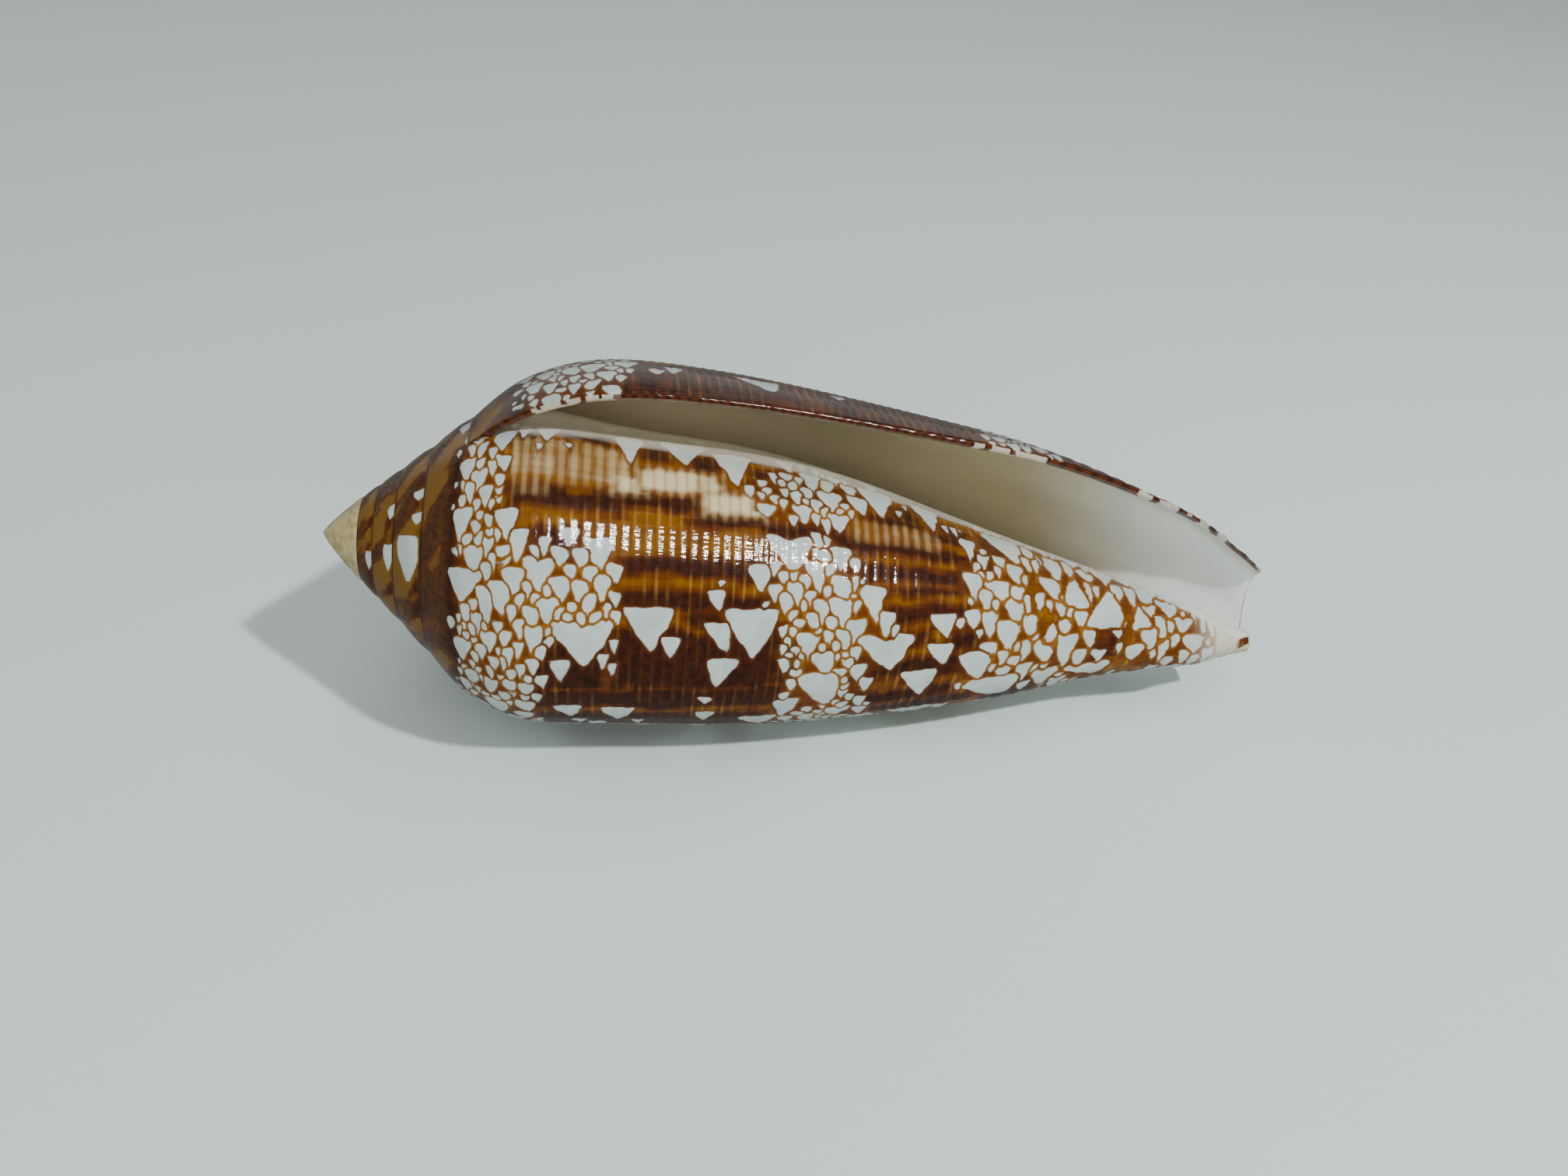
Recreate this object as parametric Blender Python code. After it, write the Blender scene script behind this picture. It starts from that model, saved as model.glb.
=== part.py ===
"""A slender, tent-marked cone shell lying on its side, modelled as one closed solid.

The shell is a sheet that winds about its axis while it grows. A profile runs from the suture over
the shoulder to the narrow front end, and every turn of growth makes it larger by one fixed ratio.
The body whorl lies between two such profiles, the lip's and the one a full turn older, which shows
inside the aperture as the wall beside the opening. Lengths are in millimetres until the mesh is made.
"""

import math

import bmesh
import bpy
import numpy as np

MM = 0.001

# --- size and coiling ---
GROWTH = 1.344  # size ratio of one whorl to the one before it
SUTURE_S = 8.67  # suture at the lip, along the axis from the spire's pole
SPIRE_HALF_ANGLE = math.radians(42.7)
WHORL_BULGE = 0.15  # how far a whorl's slope swells out between two sutures
SHOULDER = (12.87, 11.37)  # along the axis, radius
CREST = (14.57, 12.0)
LIP_END, WALL_END = 60.0, 59.5

# --- body whorl: stations from the crest to the front end, and the radius there ---
STATIONS = (0.12, 0.28, 0.45, 0.62, 0.78, 0.91, 1.0)
LIP_RADIUS = (12.55, 12.15, 11.3, 10.35, 8.55, 6.45, 4.4)
HALF_TURN_RADIUS = (10.52, 9.97, 8.8, 7.0, 4.4, 2.6, 1.3)
FULL_TURN_RADIUS = (8.5, 8.0, 6.5, 4.4, 2.6, 1.25, 0.7)
FRONT_SHIFT = (-0.45, -0.74)  # the narrow end's section lies beside the axis by this, at the end
FRONT_SHIFT_FROM = 30.0
FASCIOLE = 0.4  # low swelling near the front end
FASCIOLE_AT, FASCIOLE_WIDTH = math.radians(-235.0), math.radians(60.0)

# --- growth lines: how far round each part of the lip stands, in degrees ---
LINE_S = (0.0, 12.0, 19.0, 27.0, 38.0, 50.0, 60.0)
LINE_DEG = (8.0, 8.0, 5.0, 2.6, -1.4, -7.0, -22.0)

# --- wall and hollow ---
LIP_THICKNESS = 0.45
WALL_THICKNESS = 1.15
THICKENS_OVER = math.radians(50.0)
HOLLOW_DEPTH = math.radians(232.5)  # how far the open hollow goes in behind the lip
CANAL_OPEN = math.radians(120.0)  # the front end stays open this far behind the lip

# --- how it lies ---
LIP_ANGLE = math.radians(93.8)  # the lip, from straight back (+Y) towards straight up (+Z)
FRONT_DOWN = math.radians(5.77)  # slope of the axis
REST_BAND = 0.26  # skin this close to the ground lies level on it

# --- mesh ---
COLUMNS = 48  # a full turn
WHORLS = 5  # whorls of the spire that show their seam
ROWS_RAMP = 3
ROWS_CORNER = 3
ROWS_BODY = 22
APEX_S = 0.42

TURN = 2.0 * math.pi


def clear_scene():
    for ob in list(bpy.data.objects):
        bpy.data.objects.remove(ob, do_unlink=True)


def spline_weights(knots, t):
    """Natural cubic spline through the knots, as weights of the knots' values at each t."""
    n = len(knots)
    h = np.diff(knots)
    a, b = np.zeros((n, n)), np.zeros((n, n))
    a[0, 0] = a[-1, -1] = 1.0
    for i in range(1, n - 1):
        a[i, i - 1 : i + 2] = h[i - 1], 2.0 * (h[i - 1] + h[i]), h[i]
        b[i, i - 1 : i + 2] = 6.0 / h[i - 1], -6.0 / h[i - 1] - 6.0 / h[i], 6.0 / h[i]
    second = np.linalg.solve(a, b)
    t = np.asarray(t, float)
    k = np.clip(np.searchsorted(knots, t, side="right") - 1, 0, n - 2)
    hk = h[k]
    lo, hi = (knots[k + 1] - t) / hk, (t - knots[k]) / hk
    w = np.zeros((len(t), n))
    r = np.arange(len(t))
    w[r, k] += lo
    w[r, k + 1] += hi
    w += ((lo**3 - lo) * hk**2 / 6.0)[:, None] * second[k]
    w += ((hi**3 - hi) * hk**2 / 6.0)[:, None] * second[k + 1]
    return w


def stations():
    """The profile's control points at the lip, half a turn back and a full turn back."""
    d = np.array([math.cos(SPIRE_HALF_ANGLE), math.sin(SPIRE_HALF_ANGLE)])
    out = np.array([-d[1], d[0]])
    q0 = d * SUTURE_S / d[0]
    ramp = [q0, q0 * (1.0 + GROWTH) / 2.0 + out * WHORL_BULGE, q0 * GROWTH, np.array(SHOULDER), np.array(CREST)]
    rings = []
    for turns, radii, end in (
        (0.0, LIP_RADIUS, LIP_END),
        (0.5, HALF_TURN_RADIUS, 0.5 * (LIP_END + WALL_END)),
        (1.0, FULL_TURN_RADIUS, WALL_END),
    ):
        ring = [q / GROWTH**turns for q in ramp]
        start = ring[-1][0]
        ring += [np.array([start + (end - start) * u, r]) for u, r in zip(STATIONS, radii)]
        rings.append(np.array(ring))
    lip = rings[0]
    knots = np.concatenate([[0.0], np.cumsum(np.linalg.norm(np.diff(lip, axis=0), axis=1))])
    return knots, rings


KNOTS, RINGS = stations()
T_SEAM, T_CREST, T_END = KNOTS[2], KNOTS[4], KNOTS[-1]


def growth_line(t):
    """Angle of the growth line at profile parameter t, level over the spire's part of the profile."""
    s = spline_weights(KNOTS, np.atleast_1d(t)) @ RINGS[0][:, 0]
    return np.radians(np.interp(s, LINE_S, LINE_DEG))


def profile(t, theta):
    """Along-axis place and radius of the outer surface. t and theta are arrays of one shape."""
    t, theta = np.broadcast_arrays(np.asarray(t, float), np.asarray(theta, float))
    w = (-theta / TURN).ravel()
    weights = spline_weights(KNOTS, t.ravel())
    logs = [np.log(r) for r in RINGS]
    inside = np.maximum(w - 1.0, 0.0)[:, None, None]
    w1 = np.minimum(w, 1.0)[:, None, None]
    ring = logs[0] * (2.0 * (w1 - 0.5) * (w1 - 1.0)) + logs[1] * (4.0 * w1 * (1.0 - w1)) + logs[2] * (2.0 * w1 * (w1 - 0.5))
    ring = np.exp(ring + inside * (logs[2] - logs[1]) * 1.4)
    # the spire's part of the profile keeps the one growth ratio however far back it goes
    ring[:, :5] = np.stack([RINGS[0][:5]] * len(w)) * (GROWTH ** (-w))[:, None, None]
    p = np.einsum("nk,nkc->nc", weights, ring)
    s, r = p[:, 0].reshape(t.shape), p[:, 1].reshape(t.shape)
    swell = np.interp(s, (44.0, 50.0, 56.0, 60.0), (0.0, 0.05, FASCIOLE, 0.1))
    r = r + swell * np.exp(-(((theta - FASCIOLE_AT) / FASCIOLE_WIDTH) ** 2))
    return s, r


def place(s, r, angle):
    """Shell coordinates to space: +X runs from the spire to the front end, before the shell is laid down."""
    ramp = np.clip((s - FRONT_SHIFT_FROM) / (LIP_END - FRONT_SHIFT_FROM), 0.0, 2.0) ** 2
    return np.stack([s, r * np.cos(angle) + FRONT_SHIFT[0] * ramp, r * np.sin(angle) + FRONT_SHIFT[1] * ramp], -1)


def outer(t, theta):
    s, r = profile(t, theta)
    return place(s, r, LIP_ANGLE + theta + growth_line(np.ravel(t)).reshape(np.shape(t)))


def thickness(theta):
    x = np.clip(-theta / THICKENS_OVER, 0.0, 1.0)
    return LIP_THICKNESS + (WALL_THICKNESS - LIP_THICKNESS) * x * x * (3.0 - 2.0 * x)


def inner(t, theta):
    """Inside face of the outer wall, below the outer surface by the wall's thickness."""
    e = 1e-3
    p = outer(t, theta)
    n = np.cross(outer(t, theta + e) - outer(t, theta - e), outer(t + e, theta) - outer(t - e, theta))
    n /= np.linalg.norm(n, axis=-1, keepdims=True)
    front = np.clip((t - (T_END - 14.0)) / 14.0, 0.0, 1.0)
    return p - n * (thickness(theta) * (1.0 - 0.45 * front))[..., None]


def lay_down(p):
    """Tips the front end down."""
    c, s = math.cos(FRONT_DOWN), math.sin(FRONT_DOWN)
    return np.stack([p[..., 0] * c + p[..., 2] * s, p[..., 1], -p[..., 0] * s + p[..., 2] * c], -1)


class Sheet:
    """Points and faces of the closed surface."""

    def __init__(self):
        self.points = []
        self.faces = []

    def add(self, p):
        self.points.append(np.asarray(p, float))
        return len(self.points) - 1

    def add_all(self, array):
        return [self.add(p) for p in array]

    def quad(self, a, b, c, d):
        ring = [v for i, v in enumerate((a, b, c, d)) if v not in (a, b, c, d)[:i]]
        if len(ring) > 2:
            self.faces.append(ring)

    def zip(self, a, b):
        """Joins two rows of points that start and end together, always over the shorter diagonal."""
        i = j = 0
        while i < len(a) - 1 or j < len(b) - 1:
            step_a = i < len(a) - 1
            step_b = j < len(b) - 1
            if step_a and step_b:
                da = np.linalg.norm(self.points[a[i + 1]] - self.points[b[j]])
                db = np.linalg.norm(self.points[a[i]] - self.points[b[j + 1]])
                step_a = da <= db
            if step_a:
                self.quad(a[i], a[i + 1], b[j], b[j])
                i += 1
            else:
                self.quad(a[i], b[j + 1], b[j], b[j])
                j += 1


def build_sheet():
    sheet = Sheet()
    step = TURN / COLUMNS
    k_seam = ROWS_RAMP
    k_corner = ROWS_RAMP + ROWS_CORNER
    k_end = k_corner + ROWS_BODY
    t_corner = T_SEAM + 2.0
    body = np.linspace(0.0, 1.0, ROWS_BODY + 1)
    body = body + 0.10 * np.sin(math.pi * body) * (body - 0.5) * -1.0
    rows = np.concatenate(
        [
            np.linspace(0.0, T_SEAM, k_seam + 1),
            np.linspace(T_SEAM, t_corner, ROWS_CORNER + 1)[1:],
            t_corner + (T_END - t_corner) * body[1:],
        ]
    )

    # spire: whorl by whorl, the seam's points are those of the whorl outside it
    last = COLUMNS * (WHORLS + 1)
    grid = {}
    for j in range(last + 1):
        theta = -j * step
        column = outer(rows, np.full(len(rows), theta))
        top = k_end if j <= COLUMNS else k_seam
        for k in range(top + 1):
            if k == k_seam and j >= COLUMNS:
                grid[j, k] = grid[j - COLUMNS, 0]
            else:
                grid[j, k] = sheet.add(column[k])
    for j in range(last):
        for k in range(k_end if j < COLUMNS else k_seam):
            sheet.quad(grid[j, k], grid[j, k + 1], grid[j + 1, k + 1], grid[j + 1, k])

    # apex: a small smooth dome on the oldest whorl
    edge = [grid[j, 0] for j in range(last - COLUMNS, last + 1)]
    edge += [grid[last, k] for k in range(1, k_seam)]
    first = [sheet.points[v] for v in edge[:COLUMNS]]
    centre = np.array([APEX_S, 0.0, 0.0])
    before = edge
    for q in (0.66, 0.36):
        ring = []
        for p in first:
            s = APEX_S + (p[0] - APEX_S) * q**1.2
            ring.append(sheet.add([s, p[1] * q, p[2] * q]))
        for a in range(COLUMNS - 1):
            sheet.quad(before[a], before[a + 1], ring[a + 1], ring[a])
        if len(before) > COLUMNS:
            sheet.quad(before[COLUMNS - 1], before[COLUMNS], ring[0], ring[COLUMNS - 1])
            tail = before[COLUMNS:] + [before[0]]
            for a in range(len(tail) - 1):
                sheet.quad(tail[a], tail[a + 1], ring[0], ring[0])
        else:
            sheet.quad(before[COLUMNS - 1], before[0], ring[0], ring[COLUMNS - 1])
        before = ring
    tip = sheet.add(centre)
    for a in range(COLUMNS):
        sheet.quad(before[a], before[(a + 1) % COLUMNS], tip, tip)

    # hollow: the wall beside the opening (older whorl) and the inside face of the outer wall
    depth = int(round(HOLLOW_DEPTH / step))
    canal = int(round(CANAL_OPEN / step))
    beside, inside = {}, {}
    for j in range(depth + 1):
        theta = -j * step
        x = min(1.0, j * step / THICKENS_OVER)
        settle = x * x * (3.0 - 2.0 * x)
        start = t_corner + 1.6 * settle
        close = max(0.0, (j - canal) / max(1, depth - canal))
        end = T_END - 15.0 * close
        t_beside = start + (end - start) * (rows[k_corner:] - t_corner) / (T_END - t_corner)
        column = outer(t_beside, np.full(len(t_beside), theta - TURN))
        first_t = 0.9 + 2.4 * settle
        t_inside = first_t + (end - first_t) * (rows[k_corner:] - t_corner) / (T_END - t_corner)
        face = inner(t_inside, np.full(len(t_inside), theta))
        for i in range(ROWS_BODY + 1):
            beside[j, i] = grid[COLUMNS, k_corner + i] if j == 0 else sheet.add(column[i])
            shared = i == 0 or (i == ROWS_BODY and j >= canal)
            if not shared and j > canal:
                # the hollow narrows towards its front corner
                blend = max(0.0, (i - (ROWS_BODY - 4)) / 4.0) ** 2
                face[i] = face[i] * (1.0 - blend) + column[i] * blend
            inside[j, i] = beside[j, i] if shared else sheet.add(face[i])
    for j in range(depth):
        for i in range(ROWS_BODY):
            sheet.quad(beside[j, i], beside[j, i + 1], beside[j + 1, i + 1], beside[j + 1, i])
            sheet.quad(inside[j + 1, i], inside[j + 1, i + 1], inside[j, i + 1], inside[j, i])
    for i in range(ROWS_BODY):
        sheet.quad(beside[depth, i], beside[depth, i + 1], inside[depth, i + 1], inside[depth, i])

    # lip edge
    outside_edge = [grid[0, k] for k in range(k_end + 1)]
    inside_edge = [grid[COLUMNS, k] for k in range(k_seam, k_corner)] + [inside[0, i] for i in range(ROWS_BODY + 1)]
    sheet.zip(outside_edge, inside_edge)

    # front edge of the wall where the canal is open, and the closed end beside it
    for j in range(canal):
        sheet.quad(grid[j, k_end], grid[j + 1, k_end], inside[j + 1, ROWS_BODY], inside[j, ROWS_BODY])
    loop = [grid[j, k_end] for j in range(canal, COLUMNS)]
    loop += [beside[j, ROWS_BODY] for j in range(canal + 1)]
    middle = place(np.array(WALL_END), np.array(0.0), np.array(0.0))
    before = loop
    for q, out in ((0.72, 0.22), (0.4, 0.36)):
        ring = []
        for v in loop[:COLUMNS]:
            p = middle + (sheet.points[v] - middle) * q
            p[0] = sheet.points[v][0] * q + (1.0 - q) * WALL_END + out
            ring.append(sheet.add(p))
        for a in range(COLUMNS - 1):
            sheet.quad(before[a], before[a + 1], ring[a + 1], ring[a])
        if len(before) > COLUMNS:
            sheet.quad(before[COLUMNS - 1], before[COLUMNS], ring[0], ring[COLUMNS - 1])
            sheet.quad(before[COLUMNS], before[0], ring[0], ring[0])
        else:
            sheet.quad(before[COLUMNS - 1], before[0], ring[0], ring[COLUMNS - 1])
        before = ring
    tip = sheet.add(middle + np.array([0.42, 0.0, 0.0]))
    for a in range(COLUMNS):
        sheet.quad(before[a], before[(a + 1) % COLUMNS], tip, tip)
    return sheet


def make_shell(collection):
    sheet = build_sheet()
    p = lay_down(np.array(sheet.points))
    p[:, 2] -= p[:, 2].min()
    p[p[:, 2] < REST_BAND, 2] = 0.0
    lo, hi = p.min(axis=0), p.max(axis=0)
    p[:, 0] -= 0.5 * (lo[0] + hi[0])
    p[:, 1] -= 0.5 * (lo[1] + hi[1])
    mesh = bpy.data.meshes.new("shell")
    mesh.from_pydata((p * MM).tolist(), [], sheet.faces)
    bm = bmesh.new()
    bm.from_mesh(mesh)
    bmesh.ops.triangulate(bm, faces=[f for f in bm.faces if len(f.verts) > 3])
    bmesh.ops.recalc_face_normals(bm, faces=bm.faces)
    bm.to_mesh(mesh)
    bm.free()
    mesh.shade_smooth()
    mesh.set_sharp_from_angle(angle=math.radians(40.0))
    ob = bpy.data.objects.new("shell", mesh)
    collection.objects.link(ob)
    return ob


def shell_material():
    mat = bpy.data.materials.new("shell_glaze")
    mat.use_nodes = True
    shader = mat.node_tree.nodes["Principled BSDF"]
    shader.inputs["Base Color"].default_value = (0.55, 0.40, 0.24, 1.0)
    shader.inputs["Roughness"].default_value = 0.22
    shader.inputs["Metallic"].default_value = 0.0
    return mat


def main():
    clear_scene()
    collection = bpy.data.collections.new("cone_shell")
    bpy.context.scene.collection.children.link(collection)
    shell = make_shell(collection)
    shell.data.materials.append(shell_material())


main()
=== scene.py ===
"""Looks of the tent-marked cone shell: fine skin with raised spiral lines, its markings, glaze, floor and light.

The skin repeats the growth rule of the CAD part at a much finer step. Its markings are laid out on the
shell's own two coordinates: t, millimetres along the profile from the suture, and theta, degrees back
from the lip along the growth lines.
"""

import math

import bmesh
import bpy
import numpy as np
from mathutils import Matrix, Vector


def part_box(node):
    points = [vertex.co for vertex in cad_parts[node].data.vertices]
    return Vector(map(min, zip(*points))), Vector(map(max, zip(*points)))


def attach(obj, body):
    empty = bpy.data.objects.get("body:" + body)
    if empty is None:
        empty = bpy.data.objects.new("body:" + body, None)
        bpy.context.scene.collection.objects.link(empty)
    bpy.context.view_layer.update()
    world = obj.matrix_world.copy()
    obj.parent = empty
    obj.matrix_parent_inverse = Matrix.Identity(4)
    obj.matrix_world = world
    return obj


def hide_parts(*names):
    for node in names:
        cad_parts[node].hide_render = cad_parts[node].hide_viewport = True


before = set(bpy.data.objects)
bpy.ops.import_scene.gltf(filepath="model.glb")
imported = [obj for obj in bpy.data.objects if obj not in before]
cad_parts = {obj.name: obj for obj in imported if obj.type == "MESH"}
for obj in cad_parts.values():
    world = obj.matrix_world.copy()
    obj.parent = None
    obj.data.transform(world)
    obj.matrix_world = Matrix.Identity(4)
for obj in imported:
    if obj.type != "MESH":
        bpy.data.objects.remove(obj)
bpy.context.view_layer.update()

MM = 0.001
TURN = 2.0 * math.pi

# ---------------------------------------------------------------- shape, as in the CAD part
GROWTH = 1.344
SUTURE_S = 8.67
SPIRE_HALF_ANGLE = math.radians(42.7)
WHORL_BULGE = 0.15
SHOULDER = (12.87, 11.37)
CREST = (14.57, 12.0)
LIP_END, WALL_END = 60.0, 59.5
STATIONS = (0.12, 0.28, 0.45, 0.62, 0.78, 0.91, 1.0)
LIP_RADIUS = (12.55, 12.15, 11.3, 10.35, 8.55, 6.45, 4.4)
HALF_TURN_RADIUS = (10.52, 9.97, 8.8, 7.0, 4.4, 2.6, 1.3)
FULL_TURN_RADIUS = (8.5, 8.0, 6.5, 4.4, 2.6, 1.25, 0.7)
FRONT_SHIFT = (-0.45, -0.74)
FRONT_SHIFT_FROM = 30.0
FASCIOLE = 0.4
FASCIOLE_AT, FASCIOLE_WIDTH = math.radians(-235.0), math.radians(60.0)
LINE_S = (0.0, 12.0, 19.0, 27.0, 38.0, 50.0, 60.0)
LINE_DEG = (8.0, 8.0, 5.0, 2.6, -1.4, -7.0, -22.0)
LIP_THICKNESS = 0.45
WALL_THICKNESS = 1.15
THICKENS_OVER = math.radians(50.0)
CANAL_OPEN = math.radians(120.0)
HOLLOW_DEPTH = math.radians(232.5)
LIP_ANGLE = math.radians(93.8)
FRONT_DOWN = math.radians(5.77)
APEX_S = 0.42
WHORLS = 5

# ---------------------------------------------------------------- fineness
COLUMNS = 272  # a full turn
ROWS_RAMP = 7
CORNER = 2.0  # the wall beside the opening leaves the shoulder this far past the seam
SPARSE_FROM = 33.5  # beyond this t every second column is enough
CORD_T = (4.0, 14.0, 22.0, 28.0, 32.0, 37.0, 54.0)  # spacing of the raised spiral lines along t
CORD_STEP = (0.62, 0.60, 0.56, 0.58, 0.76, 1.12, 1.15)
CORD_HEIGHT_T = (4.0, 6.0, 12.0, 24.0, 34.0, 42.0, 50.0, 54.0)
CORD_HEIGHT = (0.0, 0.008, 0.017, 0.019, 0.026, 0.036, 0.030, 0.010)
INNER_ROWS = 72


def spline_weights(knots, t):
    """Natural cubic spline through the knots, as weights of the knots' values at each t."""
    n = len(knots)
    h = np.diff(knots)
    a, b = np.zeros((n, n)), np.zeros((n, n))
    a[0, 0] = a[-1, -1] = 1.0
    for i in range(1, n - 1):
        a[i, i - 1 : i + 2] = h[i - 1], 2.0 * (h[i - 1] + h[i]), h[i]
        b[i, i - 1 : i + 2] = 6.0 / h[i - 1], -6.0 / h[i - 1] - 6.0 / h[i], 6.0 / h[i]
    second = np.linalg.solve(a, b)
    t = np.asarray(t, float)
    k = np.clip(np.searchsorted(knots, t, side="right") - 1, 0, n - 2)
    hk = h[k]
    lo, hi = (knots[k + 1] - t) / hk, (t - knots[k]) / hk
    w = np.zeros((len(t), n))
    r = np.arange(len(t))
    w[r, k] += lo
    w[r, k + 1] += hi
    w += ((lo**3 - lo) * hk**2 / 6.0)[:, None] * second[k]
    w += ((hi**3 - hi) * hk**2 / 6.0)[:, None] * second[k + 1]
    return w


def stations():
    d = np.array([math.cos(SPIRE_HALF_ANGLE), math.sin(SPIRE_HALF_ANGLE)])
    out = np.array([-d[1], d[0]])
    q0 = d * SUTURE_S / d[0]
    ramp = [q0, q0 * (1.0 + GROWTH) / 2.0 + out * WHORL_BULGE, q0 * GROWTH, np.array(SHOULDER), np.array(CREST)]
    rings = []
    for turns, radii, end in (
        (0.0, LIP_RADIUS, LIP_END),
        (0.5, HALF_TURN_RADIUS, 0.5 * (LIP_END + WALL_END)),
        (1.0, FULL_TURN_RADIUS, WALL_END),
    ):
        ring = [q / GROWTH**turns for q in ramp]
        start = ring[-1][0]
        ring += [np.array([start + (end - start) * u, r]) for u, r in zip(STATIONS, radii)]
        rings.append(np.array(ring))
    lip = rings[0]
    knots = np.concatenate([[0.0], np.cumsum(np.linalg.norm(np.diff(lip, axis=0), axis=1))])
    return knots, rings


KNOTS, RINGS = stations()
T_SEAM, T_CREST, T_END = KNOTS[2], KNOTS[4], KNOTS[-1]


def growth_line(t):
    s = spline_weights(KNOTS, np.atleast_1d(t)) @ RINGS[0][:, 0]
    return np.radians(np.interp(s, LINE_S, LINE_DEG))


def profile(t, theta):
    """Along-axis place and radius of the outer surface."""
    t, theta = np.broadcast_arrays(np.asarray(t, float), np.asarray(theta, float))
    w = (-theta / TURN).ravel()
    weights = spline_weights(KNOTS, t.ravel())
    logs = [np.log(r) for r in RINGS]
    inside = np.maximum(w - 1.0, 0.0)[:, None, None]
    w1 = np.minimum(w, 1.0)[:, None, None]
    ring = logs[0] * (2.0 * (w1 - 0.5) * (w1 - 1.0)) + logs[1] * (4.0 * w1 * (1.0 - w1)) + logs[2] * (2.0 * w1 * (w1 - 0.5))
    ring = np.exp(ring + inside * (logs[2] - logs[1]) * 1.4)
    ring[:, :5] = RINGS[0][None, :5] * (GROWTH ** (-w))[:, None, None]
    p = np.einsum("nk,nkc->nc", weights, ring)
    s, r = p[:, 0].reshape(t.shape), p[:, 1].reshape(t.shape)
    swell = np.interp(s, (44.0, 50.0, 56.0, 60.0), (0.0, 0.05, FASCIOLE, 0.1))
    r = r + swell * np.exp(-(((theta - FASCIOLE_AT) / FASCIOLE_WIDTH) ** 2))
    return s, r


def place(s, r, angle):
    ramp = np.clip((s - FRONT_SHIFT_FROM) / (LIP_END - FRONT_SHIFT_FROM), 0.0, 2.0) ** 2
    return np.stack([s, r * np.cos(angle) + FRONT_SHIFT[0] * ramp, r * np.sin(angle) + FRONT_SHIFT[1] * ramp], -1)


def outer(t, theta):
    t, theta = np.broadcast_arrays(np.asarray(t, float), np.asarray(theta, float))
    s, r = profile(t, theta)
    return place(s, r, LIP_ANGLE + theta + growth_line(np.ravel(t)).reshape(np.shape(t)))


def outward(t, theta):
    """Unit normal of the outer surface, away from the axis."""
    e = 1e-3
    n = np.cross(outer(t, theta + e) - outer(t, theta - e), outer(t + e, theta) - outer(t - e, theta))
    return n / np.linalg.norm(n, axis=-1, keepdims=True)


def thickness(theta):
    x = np.clip(-theta / THICKENS_OVER, 0.0, 1.0)
    return LIP_THICKNESS + (WALL_THICKNESS - LIP_THICKNESS) * x * x * (3.0 - 2.0 * x)


def inner(t, theta):
    front = np.clip((t - (T_END - 14.0)) / 14.0, 0.0, 1.0)
    return outer(t, theta) - outward(t, theta) * (thickness(theta) * (1.0 - 0.45 * front))[..., None]


def lay_down(p):
    c, s = math.cos(FRONT_DOWN), math.sin(FRONT_DOWN)
    return np.stack([p[..., 0] * c + p[..., 2] * s, p[..., 1], -p[..., 0] * s + p[..., 2] * c], -1)


# ---------------------------------------------------------------- numbers that vary smoothly
def lattice(x, y, seed):
    h = (x.astype(np.int64) * 374761393 + y.astype(np.int64) * 668265263 + seed * 1442695041) & 0xFFFFFFFF
    h = ((h ^ (h >> 13)) * 1274126177) & 0xFFFFFFFF
    return ((h ^ (h >> 16)) & 0xFFFFFF) / float(0xFFFFFF)


def value_noise(x, y, seed):
    x, y = np.broadcast_arrays(np.asarray(x, float), np.asarray(y, float))
    xi, yi = np.floor(x), np.floor(y)
    fx, fy = x - xi, y - yi
    fx, fy = fx * fx * (3 - 2 * fx), fy * fy * (3 - 2 * fy)
    a = lattice(xi, yi, seed) * (1 - fx) + lattice(xi + 1, yi, seed) * fx
    b = lattice(xi, yi + 1, seed) * (1 - fx) + lattice(xi + 1, yi + 1, seed) * fx
    return a * (1 - fy) + b * fy


def step(x, lo, hi):
    u = np.clip((x - lo) / (hi - lo), 0.0, 1.0)
    return u * u * (3 - 2 * u)


def cord_phase(t):
    """How many raised lines lie between the seam and t."""
    fine = np.linspace(0.0, T_END + 1.0, 4001)
    per = np.interp(fine, CORD_T, CORD_STEP)
    count = np.concatenate([[0.0], np.cumsum(0.5 * (1 / per[1:] + 1 / per[:-1]) * np.diff(fine))])
    count -= np.interp(T_SEAM + CORNER, fine, count)
    return np.interp(t, fine, count), fine, count


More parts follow.
